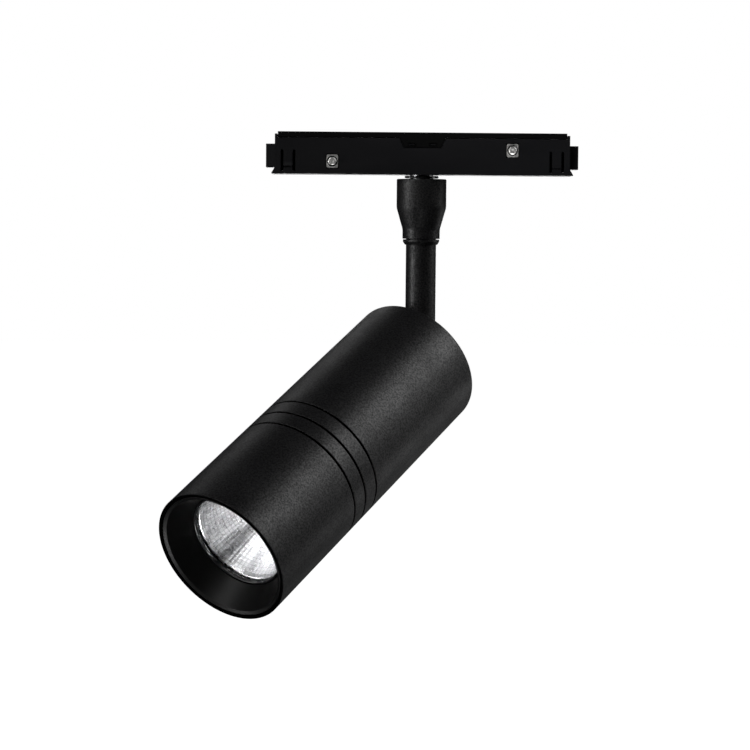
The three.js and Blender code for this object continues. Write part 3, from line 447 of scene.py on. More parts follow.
def mirror_metal():
    """Vacuum-metallised reflector, with painted shade along the creases round its facets
    and painted reflection bands in a strip along one side."""
    material, tree, shader = new_material("mirror_metal", (0.95, 0.95, 0.96), 0.28, metallic=1.0)
    axes = head_axes(tree)
    angle = math_node(tree, "ARCTAN2", axes["Y"], axes["X"])
    column = math_node(tree, "MULTIPLY", angle, FACETS_AROUND / (2 * math.pi))
    level = math_node(tree, "SUBTRACT", axes["Z"], depth(MOUTH_DEPTH))
    row = math_node(tree, "MULTIPLY", level, FACET_ROWS / (FOOT_DEPTH - MOUTH_DEPTH))
    nearest = math_node(tree, "MINIMUM", math_node(tree, "PINGPONG", column, 0.5),
                        math_node(tree, "PINGPONG", row, 0.5))
    nearest = math_node(tree, "ADD", nearest, math_node(tree, "LESS_THAN", row, 0.9))
    # Painted shade: the colour darkens along the creases between facets, except in the first row.
    crease_shade = tint(tree, nearest, (0.60, 0.60, 0.61), (0.97, 0.97, 0.98), 0.03, 0.14)

    # Painted reflection: bands of darker grey across a strip along one side.
    degrees = math_node(tree, "DEGREES", angle)
    strip = tree.nodes.new("ShaderNodeValToRGB")
    tree.links.new(ramp(tree, degrees, 0.0, 1.0, REFLECTION_STRIP[0], REFLECTION_STRIP[1]),
                   strip.inputs["Fac"])
    stops = strip.color_ramp.elements
    stops[0].position, stops[0].color = 0.0, (1, 1, 1, 1)
    stops[1].position, stops[1].color = 1.0, (1, 1, 1, 1)
    for position, shade in REFLECTION_BANDS:
        stops.new(position).color = (shade, shade, shade, 1)

    tree.links.new(mix_node(tree, "MULTIPLY", 1.0, crease_shade, strip.outputs["Color"]),
                   shader.inputs["Base Color"])
    film = noise(tree, 500, detail=3.0)
    tree.links.new(ramp(tree, film, 0.24, 0.32), shader.inputs["Roughness"])
    return material


def clear_glass():
    """Clear flat glass: nearly all see-through, with a faint mirror sheen."""
    material, tree, shader = new_material("clear_glass", (0.95, 0.98, 0.98), 0.03, metallic=1.0)
    shader.inputs["Alpha"].default_value = 0.07
    smear = noise(tree, 60, detail=2.0)
    tree.links.new(ramp(tree, smear, 0.02, 0.06), shader.inputs["Roughness"])
    return material


def circuit_board():
    """Green solder mask over copper tracks."""
    material, tree, shader = new_material("circuit_board", (0.03, 0.16, 0.06), 0.4)
    coordinates = tree.nodes.new("ShaderNodeTexCoord")
    tracks = tree.nodes.new("ShaderNodeTexBrick")
    tracks.inputs["Scale"].default_value = 160
    tracks.inputs["Mortar Size"].default_value = 0.06
    tracks.inputs["Color1"].default_value = (0.02, 0.13, 0.05, 1)
    tracks.inputs["Color2"].default_value = (0.025, 0.16, 0.06, 1)
    tracks.inputs["Mortar"].default_value = (0.05, 0.26, 0.10, 1)
    tree.links.new(coordinates.outputs["Object"], tracks.inputs["Vector"])
    tree.links.new(tracks.outputs["Color"], shader.inputs["Base Color"])
    return material


def magnet_plate():
    """Nickel-plated magnet, slightly dull."""
    material, tree, shader = new_material("magnet_plate", (0.42, 0.42, 0.44), 0.3, metallic=1.0)
    haze = noise(tree, 400, detail=3.0)
    tree.links.new(ramp(tree, haze, 0.22, 0.40), shader.inputs["Roughness"])
    return material


def led_phosphor():
    """Yellow phosphor over a white carrier."""
    material, tree, shader = new_material("led_phosphor", (0.86, 0.60, 0.16), 0.5)
    grain = noise(tree, 2500, detail=2.0)
    tree.links.new(tint(tree, grain, (0.80, 0.54, 0.13), (0.92, 0.68, 0.22)),
                   shader.inputs["Base Color"])
    return material


def soft_rubber(name, dark, light):
    """Silicone of the leads and of the thermal pad."""
    material, tree, shader = new_material(name, dark, 0.6)
    bloom = noise(tree, 350, detail=3.0)
    tree.links.new(tint(tree, bloom, dark, light), shader.inputs["Base Color"])
    tree.links.new(ramp(tree, bloom, 0.5, 0.72), shader.inputs["Roughness"])
    return material


POWDER = powder_coat("powder_coat")
# The barrel's coat, with painted shade in its grooves and on its rims.
BARREL_POWDER = powder_coat("barrel_powder_coat", shaded_grooves=True)
PLASTIC = moulded_plastic()
COVER = cover_plastic()
MATTE = matte_black()
GLOSS = gloss_black()
NICKEL = nickel()
STEEL = zinc_steel()
DARK_STEEL = spring_steel()
MIRROR = mirror_metal()
GLASS = clear_glass()
BOARD = circuit_board()
MAGNET = magnet_plate()
PHOSPHOR = led_phosphor()
CABLE = soft_rubber("cable_black", (0.02, 0.02, 0.021), (0.035, 0.035, 0.037))
PAD = soft_rubber("pad_grey", (0.38, 0.39, 0.41), (0.5, 0.51, 0.53))

# Record slot of each material; carried-over CAD nodes take their material from their slot.
SLOTS = {
    POWDER: "black_powder", PLASTIC: "black_plastic", MATTE: "black_matte",
    GLOSS: "black_gloss", NICKEL: "nickel", STEEL: "steel", MIRROR: "mirror",
    GLASS: "clear_glass", BOARD: "board", MAGNET: "magnet", PHOSPHOR: "phosphor",
    CABLE: "cable", PAD: "pad",
}
MATERIAL_OF_SLOT = {slot: material for material, slot in SLOTS.items()}
SLOTS[DARK_STEEL] = "steel"
SLOTS[BARREL_POWDER] = "black_powder"

# ------------------------------------------------------------------ mesh making

FINE = 192
MEDIUM = 96
SMALL = 48


def piece(name, mesh, place, body, material, *nodes, smooth_angle=30):
    """Puts a mesh given in millimetres at its place and rides it on its body."""
    mesh.transform(Matrix.Scale(MM, 4) @ place)
    mesh.materials.append(material)
    mesh.shade_smooth()
    mesh.set_sharp_from_angle(angle=math.radians(smooth_angle))
    made = bpy.data.objects.new(name, mesh)
    bpy.context.scene.collection.objects.link(made)
    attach(made, body)
    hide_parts(*nodes)
    return made


def from_bmesh(bm, name):
    bmesh.ops.recalc_face_normals(bm, faces=bm.faces)
    mesh = bpy.data.meshes.new(name)
    bm.to_mesh(mesh)
    bm.free()
    return mesh


def rounded(corners, steps=4):
    """Closed outline of (r, z) points with its corners filleted.

    Each corner is (r, z) or (r, z, fillet radius)."""
    outline = []
    count = len(corners)
    for i, corner in enumerate(corners):
        here = Vector(corner[:2])
        radius = corner[2] if len(corner) > 2 else 0.0
        if not radius:
            outline.append(tuple(here))
            continue
        back = (Vector(corners[i - 1][:2]) - here)
        ahead = (Vector(corners[(i + 1) % count][:2]) - here)
        half = back.angle(ahead) / 2
        reach = min(radius / math.tan(half), 0.45 * back.length, 0.45 * ahead.length)
        radius = reach * math.tan(half)
        back.normalize()
        ahead.normalize()
        centre = here + (back + ahead).normalized() * (radius / math.sin(half))
        start = here + back * reach - centre
        end = here + ahead * reach - centre
        outline.append(tuple(here + back * reach * 1.6))
        for step in range(steps + 1):
            spoke = start.slerp(end, step / steps).normalized() * radius
            outline.append(tuple(centre + spoke))
        outline.append(tuple(here + ahead * reach * 1.6))
    return outline


def lathe(name, corners, segments=MEDIUM):
    """Solid of revolution about Z of a closed outline."""
    outline = rounded(corners)
    bm = bmesh.new()
    rings = []
    for r, z in outline:
        if abs(r) < 1e-6:
            rings.append([bm.verts.new((0, 0, z))])
            continue
        rings.append([
            bm.verts.new((r * math.cos(a), r * math.sin(a), z))
            for a in (2 * math.pi * i / segments for i in range(segments))
        ])
    for one, other in zip(rings, rings[1:] + rings[:1]):
        if len(one) == 1 and len(other) == 1:
            continue
        for i in range(segments):
            j = (i + 1) % segments
            if len(one) == 1:
                bm.faces.new((one[0], other[i], other[j]))
            elif len(other) == 1:
                bm.faces.new((one[i], one[j], other[0]))
            else:
                bm.faces.new((one[i], one[j], other[j], other[i]))
    return from_bmesh(bm, name)


def tube_along(name, path, radius, sides=16):
    """Round tube along a list of points, closed at both ends."""
    bm = bmesh.new()
    points = [Vector(p) for p in path]
    side = None
    rings = []
    for i, point in enumerate(points):
        ahead = points[min(i + 1, len(points) - 1)] - points[max(i - 1, 0)]
        ahead.normalize()
        if side is None:
            side = ahead.orthogonal().normalized()
        side = (side - ahead * side.dot(ahead)).normalized()
        up = ahead.cross(side)
        rings.append([
            bm.verts.new(point + radius * (math.cos(a) * side + math.sin(a) * up))
            for a in (2 * math.pi * k / sides for k in range(sides))
        ])
    for one, other in zip(rings, rings[1:]):
        for k in range(sides):
            m = (k + 1) % sides
            bm.faces.new((one[k], one[m], other[m], other[k]))
    bm.faces.new(rings[0])
    bm.faces.new(rings[-1])
    return from_bmesh(bm, name)


def bevelled(name, bm, width):
    """Mesh of a bmesh with its sharp edges rounded."""
    sharp = [e for e in bm.edges if e.calc_face_angle(0) > math.radians(35)]
    bmesh.ops.bevel(bm, geom=sharp, offset=width, segments=3, profile=0.5,
                    affect="EDGES", clamp_overlap=True)
    return from_bmesh(bm, name)


def plate_along_x(name, outline, low, high):
    """Flat plate between low and high in X with an outline of (y, z) points."""
    bm = bmesh.new()
    near, far = ([bm.verts.new((x, y, z)) for y, z in outline] for x in (low, high))
    bm.faces.new(near)
    bm.faces.new(far)
    for i in range(len(outline)):
        j = (i + 1) % len(outline)
        bm.faces.new((near[i], near[j], far[j], far[i]))
    return from_bmesh(bm, name)


def rectangle(y0, y1, z0, z1):
    return [(y0, z0), (y1, z0), (y1, z1), (y0, z1)]


def arc(radius, start, end, steps=32):
    """Points round the origin, angles in degrees."""
    angles = (math.radians(start + (end - start) * i / steps) for i in range(steps + 1))
    return [(radius * math.cos(a), radius * math.sin(a)) for a in angles]


def rod(radius, low, high, place=ROW):
    mesh = lathe("rod", [(0, low), (radius, low), (radius, high), (0, high)], SMALL)
    mesh.transform(place)
    return mesh


def combined(name, whole, operation, others):
    """Whole with the other closed meshes added ("UNION") or taken away
    ("DIFFERENCE")."""
    made = bpy.data.objects.new(name, whole)
    tools = [bpy.data.objects.new("tool", other) for other in others]
    for item in (made, *tools):
        bpy.context.scene.collection.objects.link(item)
    for tool in tools:
        modifier = made.modifiers.new("combine", "BOOLEAN")
        modifier.operation = operation
        modifier.solver = "EXACT"
        modifier.object = tool
    state = bpy.context.evaluated_depsgraph_get()
    mesh = bpy.data.meshes.new_from_object(made.evaluated_get(state))
    for item in (made, *tools):
        bpy.data.objects.remove(item)
    return mesh


def soften(made, width):
    """Gives an object rounded edges, width in millimetres."""
    modifier = made.modifiers.new("edges", "BEVEL")
    modifier.width = width * MM
    modifier.segments = 3
    modifier.limit_method = "ANGLE"
    modifier.angle_limit = math.radians(50)
    modifier.harden_normals = True


# ---------------------------------------------------------------------- adapter

def contact_plate(side, x, z):
    """Square plate with round corners and a round hole for the pin."""
    across, up = PLATE_WIDTH / 2, PLATE_HEIGHT / 2
    bm = bmesh.new()
    outer_ring, inner_ring = [], []
    for i in range(SMALL):
        a = 2 * math.pi * (i + 0.5) / SMALL
        c, s = math.cos(a), math.sin(a)
        reach = ((abs(c / across) ** PLATE_SQUARENESS + abs(s / up) ** PLATE_SQUARENESS)
                 ** (-1 / PLATE_SQUARENESS))
        outer_ring.append((reach * c, reach * s))
        inner_ring.append((PLATE_HOLE * c, PLATE_HOLE * s))
    layers = []
    for ring, y in ((outer_ring, 0), (outer_ring, PLATE_THICK),
                    (inner_ring, PLATE_THICK), (inner_ring, 0)):
        layers.append([bm.verts.new((px, y, pz)) for px, pz in ring])
    for one, other in zip(layers, layers[1:] + layers[:1]):
        for i in range(SMALL):
            j = (i + 1) % SMALL
            bm.faces.new((one[i], one[j], other[j], other[i]))
    mesh = bevelled("contact_plate", bm, 0.16)
    place = Matrix.Translation((x, ADAPTER_FRONT, z))
    piece(f"plate_{side}", mesh, place, "adapter", NICKEL, f"contact_plate_{side}")


def contact_pin(side, x, z):
    """Domed pin with a small dimple, and the collar that holds it in."""
    mesh = lathe("contact_pin", [
        (0, PIN_TIP + 0.16), (0.3, PIN_TIP + 0.05, 0.2), (0.6, PIN_TIP, 0.3),
        (PIN_RADIUS, PIN_TIP, 0.9), (PIN_RADIUS, PIN_COLLAR_FRONT, 0.05),
        (PIN_COLLAR, PIN_COLLAR_FRONT, 0.1), (PIN_COLLAR, PIN_COLLAR_BACK, 0.1),
        (0, PIN_COLLAR_BACK),
    ], SMALL)
    place = Matrix.Translation((x, 0, z)) @ ALONG_Y
    piece(f"pin_{side}", mesh, place, f"contact_{side}", NICKEL, f"contact_pin_{side}")


def spring(name, place, size, length, node):
    """Coil spring of the given length, riding on the adapter."""
    steps = 28 * size["turns"]
    path = []
    for i in range(steps + 1):
        t = i / steps
        angle = 2 * math.pi * size["turns"] * t
        path.append((size["radius"] * math.cos(angle), size["radius"] * math.sin(angle),
                     length * t))
    mesh = tube_along(name, path, size["wire"], 12)
    made = piece(name, mesh, place, "adapter", STEEL, node)
    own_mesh(made)


def adapter():
    for name in ("adapter_housing", "adapter_cover", "latch_left", "latch_right"):
        soften(frame["nodes"][name], 0.16)
    for side, (x, z) in CONTACTS.items():
        contact_plate(side, x, z)
        contact_pin(side, x, z)
        low, high = (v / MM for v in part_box(f"contact_spring_{side}"))
        spring(f"coil_{side}", Matrix.Translation((x, low.y, z)) @ ALONG_Y, CONTACT_SPRING,
               high.y - low.y, f"contact_spring_{side}")
    for side, sign in (("left", -1), ("right", 1)):
        low, high = (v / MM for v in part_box(f"latch_spring_{side}"))
        middle = (low + high) / 2
        spring(f"latch_coil_{side}", Matrix.Translation((low.x, 0, middle.z)) @ ALONG_X,
               LATCH_SPRING, high.x - low.x, f"latch_spring_{side}")


def wave_washer():
    middle = (ADAPTER_BOTTOM + CUP_TOP) / 2
    mesh = lathe("wave_washer", [
        (WAVE_INNER, -WAVE_THICK / 2, 0.08), (WAVE_OUTER, -WAVE_THICK / 2, 0.08),
        (WAVE_OUTER, WAVE_THICK / 2, 0.08), (WAVE_INNER, WAVE_THICK / 2, 0.08),
    ], MEDIUM)
    for vertex in mesh.vertices:
        angle = math.atan2(vertex.co.y, vertex.co.x)
        vertex.co.z += middle + WAVE_HEIGHT * math.sin(WAVES * angle)
    piece("wavy_washer", mesh, ROW, "adapter", DARK_STEEL, "wave_washer")


# ------------------------------------------------------------------------- stem

def stem():
    """Swivel stud, neck, collar and tube, turned about one axis."""
    flange_top = CUP_CEILING - GAP
    flange_foot = flange_top - STUD_FLANGE_THICK
    piece("stud", lathe("stud", [
        (STUD_BORE, flange_foot, 0.2), (STUD_FLANGE, flange_foot, 0.2),
        (STUD_FLANGE, flange_top, 0.2), (STUD_RADIUS, flange_top),
        (STUD_RADIUS, STUD_TOP, 0.4), (STUD_BORE, STUD_TOP, 0.2),
    ]), STEM, "stem", STEEL, "swivel_stud")
    piece("neck_cup", lathe("neck_cup", [
        (STUD_RADIUS + GAP, CUP_TOP, 0.15), (CUP_RADIUS, CUP_TOP, 0.5),
        (CUP_RADIUS, CUP_TAPER_TOP, 7.0), (CUP_FOOT_RADIUS, CUP_TAPER_FOOT, 6.0),
        (CUP_FOOT_RADIUS, CUP_BOTTOM, 0.15), (NECK_BORE, CUP_BOTTOM, 0.05),
        (NECK_BORE, CUP_POCKET_FOOT), (CUP_POCKET_RADIUS, CUP_POCKET_FOOT),
        (CUP_POCKET_RADIUS, CUP_CEILING), (STUD_RADIUS + GAP, CUP_CEILING),
    ], FINE), STEM, "stem", POWDER, "swivel_cup")
    piece("collar", lathe("collar", [
        (NECK_BORE, COLLAR_TOP, 0.05), (COLLAR_RADIUS, COLLAR_TOP, 0.12),
        (COLLAR_RADIUS, COLLAR_TAPER_TOP, 0.15), (NECK_BORE + 0.15, COLLAR_BOTTOM),
        (NECK_BORE, COLLAR_BOTTOM),
    ], MEDIUM), STEM, "stem", POWDER, "stem_collar")
    piece("tube", lathe("tube", [
        (STEM_BORE, PIVOT_Z + STEM_FOOT, 0.2), (STEM_RADIUS, PIVOT_Z + STEM_FOOT, 0.3),
        (STEM_RADIUS, STEM_TOP, 0.3), (STEM_BORE, STEM_TOP, 0.2),
    ], MEDIUM), STEM, "stem", POWDER, "stem_tube")


# ------------------------------------------------------------------------- head

def hinge():
    """Bolt with its two washers; the nut stays a CAD node."""
    end = FORK_OUTER + GAP
    head = -end - BOLT_HEAD_THICK
    socket = head + BOLT_SOCKET_DEEP
    piece("bolt", lathe("bolt", [
        (0, socket), (BOLT_SOCKET, socket, 0.1), (BOLT_SOCKET, head, 0.1),
        (BOLT_HEAD, head, 0.5), (BOLT_HEAD, -end, 0.15), (BOLT_RADIUS, -end),
        (BOLT_RADIUS, end + BOLT_TAIL, 0.3), (0, end + BOLT_TAIL),
    ], SMALL), HEAD @ ALONG_X, "head", STEEL, "hinge_bolt")
    for side, sign in (("left", -1), ("right", 1)):
        near = WASHER_INSIDE if sign > 0 else -WASHER_INSIDE - WASHER_THICK
        piece(f"hinge_shim_{side}", lathe("shim", [
            (BOLT_HOLE, near, 0.08), (WASHER_RADIUS, near, 0.08),
            (WASHER_RADIUS, near + WASHER_THICK, 0.08),
            (BOLT_HOLE, near + WASHER_THICK, 0.08),
        ], SMALL), HEAD @ ALONG_X, "head", STEEL, f"hinge_washer_{side}")
    soften(frame["nodes"]["hinge_nut"], 0.25)


def knuckle():
    """Foot of the stem: a round shoulder and a flat tongue with an eye."""
    tongue = [(EYE_RADIUS, SHOULDER + OVERLAP), (-EYE_RADIUS, SHOULDER + OVERLAP)]
    tongue += arc(EYE_RADIUS, 180, 360)
    whole = combined("knuckle", plate_along_x("tongue", tongue, -TONGUE_HALF, TONGUE_HALF),
                     "UNION", [
        lathe("shoulder", [(0, SHOULDER), (STEM_RADIUS, SHOULDER), (STEM_RADIUS, SEAT),
                           (0, SEAT)], MEDIUM),
        rod(PLUG_RADIUS, SEAT - OVERLAP, PLUG_END),
    ])
    opening = rectangle(-EYE_RADIUS - OVERLAP, 0, DUCT_FOOT, DUCT_TOP)
    mesh = combined("knuckle", whole, "DIFFERENCE", [
        rod(BOLT_HOLE, -TONGUE_HALF - OVERLAP, TONGUE_HALF + OVERLAP, ALONG_X),
        rod(DUCT_RADIUS, DUCT_FOOT, PLUG_END + OVERLAP),
        plate_along_x("opening", opening, -DUCT_RADIUS, DUCT_RADIUS),
    ])
    place = STEM @ Matrix.Translation((0, 0, PIVOT_Z))
    soften(piece("tongue", mesh, place, "stem", POWDER, "hinge_knuckle"), 0.22)


def screw_places():
    """Where the cap screws stand round the head's axis."""
    for degrees in (90, 210, 330):
        angle = math.radians(degrees)
        yield CAP_SCREW_CIRCLE * math.cos(angle), CAP_SCREW_CIRCLE * math.sin(angle)


def rear_cap():
    """Disc that closes the barrel, with the fork of the hinge and a web across it."""
    low = REAR_FACE - OVERLAP
    ear = [(FORK_ROOT, low), (WEB_OUTER, low), (WEB_OUTER, WEB_TOP), (WEB_INNER, WEB_TOP)]
    ear += arc(EYE_RADIUS, 0, 180)
    whole = combined("cap", lathe("cap", [
        (0, REAR_FACE - CAP_THICK), (CAP_RADIUS, REAR_FACE - CAP_THICK),
        (CAP_RADIUS, REAR_FACE), (0, REAR_FACE)], FINE), "UNION", [
        plate_along_x("ear", ear, FORK_INNER, FORK_OUTER),
        plate_along_x("ear", ear, -FORK_OUTER, -FORK_INNER),
        plate_along_x("web", rectangle(WEB_INNER, WEB_OUTER, low, WEB_TOP),
                      -FORK_OUTER, FORK_OUTER),
    ])
    holes = [
        rod(BOLT_HOLE, -FORK_OUTER - OVERLAP, FORK_OUTER + OVERLAP, ALONG_X),
        rod(CAP_DUCT_RADIUS, REAR_FACE - CAP_THICK - OVERLAP, REAR_FACE + OVERLAP,
            Matrix.Translation((0, CAP_DUCT_Y, 0))),
    ]
    for x, y in screw_places():
        mouth, shaft, end = SCREW_HEAD + GAP, SCREW_SHANK + GAP, REAR_FACE - SCREW_LENGTH
        hole = lathe("screw_hole", [
            (0, REAR_FACE + OVERLAP), (mouth, REAR_FACE + OVERLAP),
            (mouth, REAR_FACE - SCREW_HEAD_EDGE), (shaft, REAR_FACE - SCREW_NECK),
            (shaft, end), (0, end)], SMALL)
        hole.transform(Matrix.Translation((x, y, 0)))
        holes.append(hole)
    mesh = combined("cap", whole, "DIFFERENCE", holes)
    soften(piece("end_cap", mesh, HEAD, "head", POWDER, "rear_cap"), 0.22)


def barrel():
    """The three turned parts of the head; their joints are the outer grooves."""
    half = GROOVE_WIDTH / 2
    first, second, third = GROOVES
    piece("tube_front", lathe("tube_front", [
        (TUBE_BORE, depth(0), 0.12), (HEAD_RADIUS, depth(0), 0.3),
        (HEAD_RADIUS, depth(first - half), GROOVE_EDGE), (TUBE_BORE, depth(first - half), 0.1),
    ], FINE), HEAD, "head", BARREL_POWDER, "front_tube")
    piece("sink", lathe("sink", [
        (0, depth(SINK_FACE)), (SPIGOT_BORE, depth(SINK_FACE)),
        (SPIGOT_BORE, depth(SPIGOT_FRONT), 0.2), (SPIGOT_RADIUS, depth(SPIGOT_FRONT), 0.2),
        (SPIGOT_RADIUS, depth(first + half)), (HEAD_RADIUS, depth(first + half), GROOVE_EDGE),
        (HEAD_RADIUS, depth(second - half), GROOVE_EDGE), (GROOVE_FLOOR, depth(second - half)),
        (GROOVE_FLOOR, depth(second + half)), (HEAD_RADIUS, depth(second + half), GROOVE_EDGE),
        (HEAD_RADIUS, depth(third - half), GROOVE_EDGE), (SPIGOT_RADIUS, depth(third - half)),
        (SPIGOT_RADIUS, depth(SPIGOT_BACK), 0.2), (SPIGOT_BORE, depth(SPIGOT_BACK), 0.2),
        (SPIGOT_BORE, depth(SINK_BACK)), (SINK_FIN[1], depth(SINK_BACK)),
        (SINK_FIN[1], depth(FIN_END), 0.3), (SINK_FIN[0], depth(FIN_END), 0.3),
        (SINK_FIN[0], depth(SINK_BACK)), (0, depth(SINK_BACK)),
    ], FINE), HEAD, "head", BARREL_POWDER, "heat_sink")
    seat = HEAD_LENGTH - CAP_THICK - GAP
    piece("housing_rear", lathe("housing_rear", [
        (TUBE_BORE, depth(third + half), 0.1), (HEAD_RADIUS, depth(third + half), GROOVE_EDGE),
        (HEAD_RADIUS, depth(HEAD_LENGTH), 0.55), (TUBE_BORE, depth(HEAD_LENGTH), 0.2),
        (TUBE_BORE, depth(seat)), (SEAT_BORE, depth(seat), 0.1),
        (SEAT_BORE, depth(seat - SEAT_THICK), 0.1), (TUBE_BORE, depth(seat - SEAT_THICK)),
    ], FINE), HEAD, "head", BARREL_POWDER, "rear_housing")


def cap_screws():
    """Countersunk screws with a round socket."""
    for i, (x, y) in enumerate(screw_places()):
        top = REAR_FACE - SCREW_SUNK
        socket, end = REAR_FACE - SCREW_SOCKET_FOOT, REAR_FACE - SCREW_LENGTH
        mesh = lathe("cap_screw", [
            (0, socket), (SCREW_SOCKET, socket), (SCREW_SOCKET, top, 0.1),
            (SCREW_HEAD, top, 0.1), (SCREW_HEAD, REAR_FACE - SCREW_HEAD_EDGE),
            (SCREW_SHANK, REAR_FACE - SCREW_NECK), (SCREW_SHANK, end, 0.2), (0, end),
        ], SMALL)
        piece(f"rear_screw_{i + 1}", mesh, HEAD @ Matrix.Translation((x, y, 0)), "head",
              STEEL, f"cap_screw_{i + 1}")


def baffle():
    """Dark cone between the rim and the glass, with a skirt inside the tube."""
    slope = (LIP_RADIUS - THROAT_RADIUS) / (THROAT_DEPTH - LIP_DEPTH)
    meets = LIP_DEPTH + (LIP_RADIUS + BAFFLE_THICK - BAFFLE_INNER) / slope
    piece("glare_baffle", lathe("glare_baffle", [
        (BAFFLE_OUTER, depth(BAFFLE_FRONT), 0.15), (LIP_RADIUS, depth(LIP_DEPTH), 0.25),
        (THROAT_RADIUS, depth(THROAT_DEPTH), 0.1), (THROAT_RADIUS, depth(BAFFLE_BACK)),
        (THROAT_RADIUS + BAFFLE_THICK, depth(BAFFLE_BACK)), (BAFFLE_INNER, depth(meets)),
        (BAFFLE_INNER, depth(BAFFLE_SKIRT_END), 0.1),
        (BAFFLE_OUTER, depth(BAFFLE_SKIRT_END), 0.1),
    ], FINE), HEAD, "head", MATTE, "front_baffle")


def glass_and_ring():
    opening, outer = LENS_OPENING, LENS_RING_RADIUS
    bead = opening + LENS_BEAD
    inner = outer - LENS_RING_WALL
    face = depth(LENS_RING_FACE)
    tip = face - LENS_BEAD_PROUD
    back = face + LENS_RING_THICK
    end = face + LENS_RING_LENGTH
    piece("glass_ring", lathe("glass_ring", [
        (opening, tip, 0.2), (bead, tip, 0.25), (bead, face), (outer, face, 0.2),
        (outer, end, 0.1), (inner, end, 0.1), (inner, back), (opening, back, 0.1),
    ], FINE), HEAD, "head", GLOSS, "lens_ring")
    piece("front_glass", lathe("front_glass", [
        (0, depth(GLASS_FRONT)), (GLASS_RADIUS, depth(GLASS_FRONT), 0.12),
        (GLASS_RADIUS, depth(GLASS_BACK), 0.12), (0, depth(GLASS_BACK)),
    ], MEDIUM), HEAD, "head", GLASS, "glass_lens")


def reflector():
    """Parabolic shell with a rounded mouth and a grid of pillowed facets inside."""
    around, rows = FACETS_AROUND, FACET_ROWS
    split = 4                             # steps across a facet
    bulge, unevenness = 0.03, 0.015       # millimetres off the smooth wall

    def wall(t):
        """Radius and depth of the inner wall, t from the mouth to the foot."""
        radius = math.sqrt(MOUTH_RADIUS ** 2 * (1 - t) + FOOT_RADIUS ** 2 * t)
        return radius, MOUTH_DEPTH + (FOOT_DEPTH - MOUTH_DEPTH) * t

    def corner(row, column):
        """Corner of four facets, each a little off the smooth wall."""
        radius, level = wall(row / rows)
        level = max(level, MOUTH_DEPTH + MOUTH_ROUND)
        if 1 < row < rows:
            radius += unevenness * math.sin(12.99 * row + 78.23 * (column % around))
        angle = 2 * math.pi * column / around
        return Vector((radius * math.cos(angle), radius * math.sin(angle), depth(level)))

    bm = bmesh.new()
    steps = rows * split
    turns = around * split

    def circle(radius, level):
        """Ring of vertices round the head's axis at a depth behind the rim."""
        angles = (2 * math.pi * i / turns for i in range(turns))
        return [bm.verts.new((radius * math.cos(a), radius * math.sin(a), depth(level)))
                for a in angles]

    inside = []
    for k in range(steps + 1):
        row = min(k // split, rows - 1)
        down = k / split - row
        ring = []
        for i in range(turns):
            column, part = divmod(i, split)
            across = part / split
            point = corner(row, column).lerp(corner(row, column + 1), across).lerp(
                corner(row + 1, column).lerp(corner(row + 1, column + 1), across), down)
            lift = bulge * 16 * down * (1 - down) * across * (1 - across) if row else 0
            shrink = 1 - lift / math.hypot(point.x, point.y)
            ring.append(bm.verts.new((point.x * shrink, point.y * shrink, point.z)))
        inside.append(ring)
    outside = []
    for k in range(rows + 1):
        radius, level = wall(1 - k / rows)
        if k == rows:
            level += REFLECTOR_WALL
        outside.append(circle(radius + REFLECTOR_WALL, level))
    flange = [circle(REFLECTOR_FLANGE, level)
              for level in (MOUTH_DEPTH + REFLECTOR_WALL, MOUTH_DEPTH)]
    lip = []
    for k in range(LIP_STEPS):
        turn = math.pi / 2 * k / LIP_STEPS
        lip.append(circle(MOUTH_RADIUS + MOUTH_ROUND * (1 - math.sin(turn)),
                          MOUTH_DEPTH + MOUTH_ROUND * (1 - math.cos(turn))))
    rings = inside + outside + flange + lip
    for one, other in zip(rings, rings[1:] + rings[:1]):
        for i in range(turns):
            j = (i + 1) % turns
            bm.faces.new((one[i], one[j], other[j], other[i]))
    piece("faceted_reflector", from_bmesh(bm, "reflector"), HEAD, "head", MIRROR,
          "reflector", smooth_angle=5)


def led():
    """Holder that clamps the LED to the heat sink; the LED stays a CAD node."""
    piece("led_holder", lathe("led_holder", [
        (HOLDER_BORE, depth(HOLDER_FRONT), 0.5), (HOLDER_RADIUS, depth(HOLDER_FRONT), 0.4),
        (HOLDER_RADIUS, depth(HOLDER_BACK), 0.2), (HOLDER_RECESS, depth(HOLDER_BACK)),
        (HOLDER_RECESS, depth(HOLDER_SHELF)), (HOLDER_BORE, depth(HOLDER_SHELF), 0.1),
    ], MEDIUM), HEAD, "head", MATTE, "cob_holder")
    soften(frame["nodes"]["cob_led"], 0.12)


# ------------------------------------------------------- carried-over CAD nodes

def dress_nodes():
    """Every carried-over CAD node takes the procedural material of its slot."""
    slot_of = {row["node"]: row["material_slot"] for row in frame["record"]["subparts"]}
    for name, node in frame["nodes"].items():
        material = MATERIAL_OF_SLOT[slot_of[name]]
        if name == "adapter_cover":
            material = COVER
        node.data.materials.clear()
        node.data.materials.append(material)
        node.data.shade_smooth()
        node.data.set_sharp_from_angle(angle=math.radians(40))


# ----------------------------------------------------------------------- studio

# Metres, degrees and watts
FLOOR_Z = -0.42
FLOOR_RADIUS = 6.0
LIGHT_TARGET = (-0.02, -0.04, -0.09)
AMBIENT = 0.005
CAMERA_AT = (-0.01817, -0.92256, -0.03346)
CAMERA_PITCH = -4.0
CAMERA_ROLL = 0.5
CAMERA_LENS = 109.15


def camera():
    data = bpy.data.cameras.new("camera")
    data.sensor_width = 36
    data.lens = CAMERA_LENS
    data.clip_end = 50
    made = bpy.data.objects.new("camera", data)
    made.matrix_world = (Matrix.Translation(CAMERA_AT)
                         @ Matrix.Rotation(math.radians(90 + CAMERA_PITCH), 4, "X")
                         @ Matrix.Rotation(math.radians(CAMERA_ROLL), 4, "Z"))
    bpy.context.scene.collection.objects.link(made)
    bpy.context.scene.camera = made


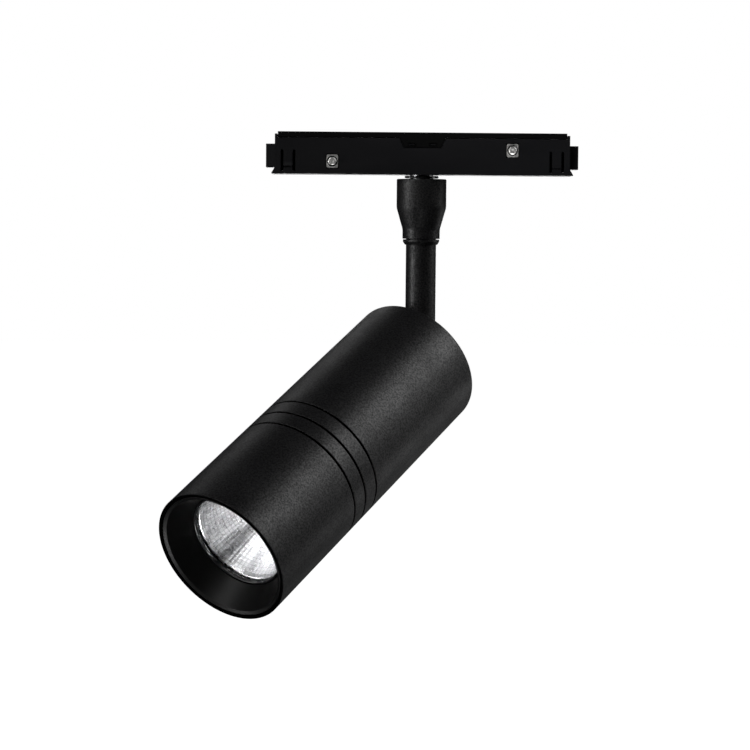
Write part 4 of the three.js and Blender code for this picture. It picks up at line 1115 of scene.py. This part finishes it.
def softbox(name, azimuth, elevation, power, distance=1.2, size=0.4):
    """Square area light aimed at the middle of the object; angles in degrees."""
    flat = math.radians(azimuth)
    up = math.radians(elevation)
    towards = Vector((math.cos(flat) * math.cos(up), math.sin(flat) * math.cos(up),
                      math.sin(up)))
    data = bpy.data.lights.new(name, "AREA")
    data.shape = "SQUARE"
    data.size = size
    data.energy = power
    made = bpy.data.objects.new(name, data)
    made.location = Vector(LIGHT_TARGET) + towards * distance
    made.rotation_euler = towards.to_track_quat("Z", "Y").to_euler()
    bpy.context.scene.collection.objects.link(made)
    return made


def floor():
    """White paper that glows by itself, so that it stays clear of shadows."""
    bm = bmesh.new()
    bmesh.ops.create_circle(bm, cap_ends=True, segments=MEDIUM, radius=FLOOR_RADIUS)
    mesh = from_bmesh(bm, "floor")
    material, tree, shader = new_material("floor_paper", (0.9, 0.9, 0.9), 0.8, specular=0.1)
    shader.inputs["Emission Color"].default_value = (1, 1, 1, 1)
    shader.inputs["Emission Strength"].default_value = 1.0
    mesh.materials.append(material)
    made = bpy.data.objects.new("floor", mesh)
    made.location.z = FLOOR_Z
    made.visible_diffuse = False
    made.visible_glossy = False
    made.visible_shadow = False
    bpy.context.scene.collection.objects.link(made)


def backdrop():
    """White behind the object, and only a low even light from it."""
    world = bpy.data.worlds.new("studio")
    world.use_nodes = True
    bpy.context.scene.world = world
    tree = world.node_tree
    background = tree.nodes["Background"]
    rays = tree.nodes.new("ShaderNodeLightPath")
    strength = tree.nodes.new("ShaderNodeMapRange")
    strength.inputs["To Min"].default_value = AMBIENT
    strength.inputs["To Max"].default_value = 1.0
    background.inputs["Color"].default_value = (1, 1, 1, 1)
    tree.links.new(rays.outputs["Is Camera Ray"], strength.inputs["Value"])
    tree.links.new(strength.outputs["Result"], background.inputs["Strength"])


def studio():
    """Floor, background and lights; two of these reach only the bright metal."""
    floor()
    backdrop()
    softbox("key_right", 0, 35, 6.4, distance=1.5, size=0.8)
    softbox("low_right", 36, -15, 0.42)
    softbox("edge_right", 12, 8, 0.5)
    softbox("edge_low", 64, -24, 0.105)
    softbox("side_left", -160, -5, 3.4)
    softbox("front_fill", -132, 32, 3.0)
    softbox("table_bounce", -105, -60, 5.5)
    softbox("rim_back", 108, 32, 0.37)
    softbox("back_fill", 84, 4, 3.0, size=0.5)
    bright = bpy.data.collections.new("bright_metal")
    for name in ("faceted_reflector", "glass_ring", "pin_left", "pin_right",
                 "plate_left", "plate_right"):
        bright.objects.link(bpy.data.objects[name])
    for light in (softbox("metal_glow", -80, -60, 12.5), softbox("metal_side", -156, -10, 2.2)):
        light.light_linking.receiver_collection = bright
    bpy.context.scene.view_settings.view_transform = "Standard"


camera()
dress_nodes()
adapter()
wave_washer()
stem()
knuckle()
hinge()
rear_cap()
barrel()
cap_screws()
baffle()
glass_and_ring()
reflector()
led()
studio()
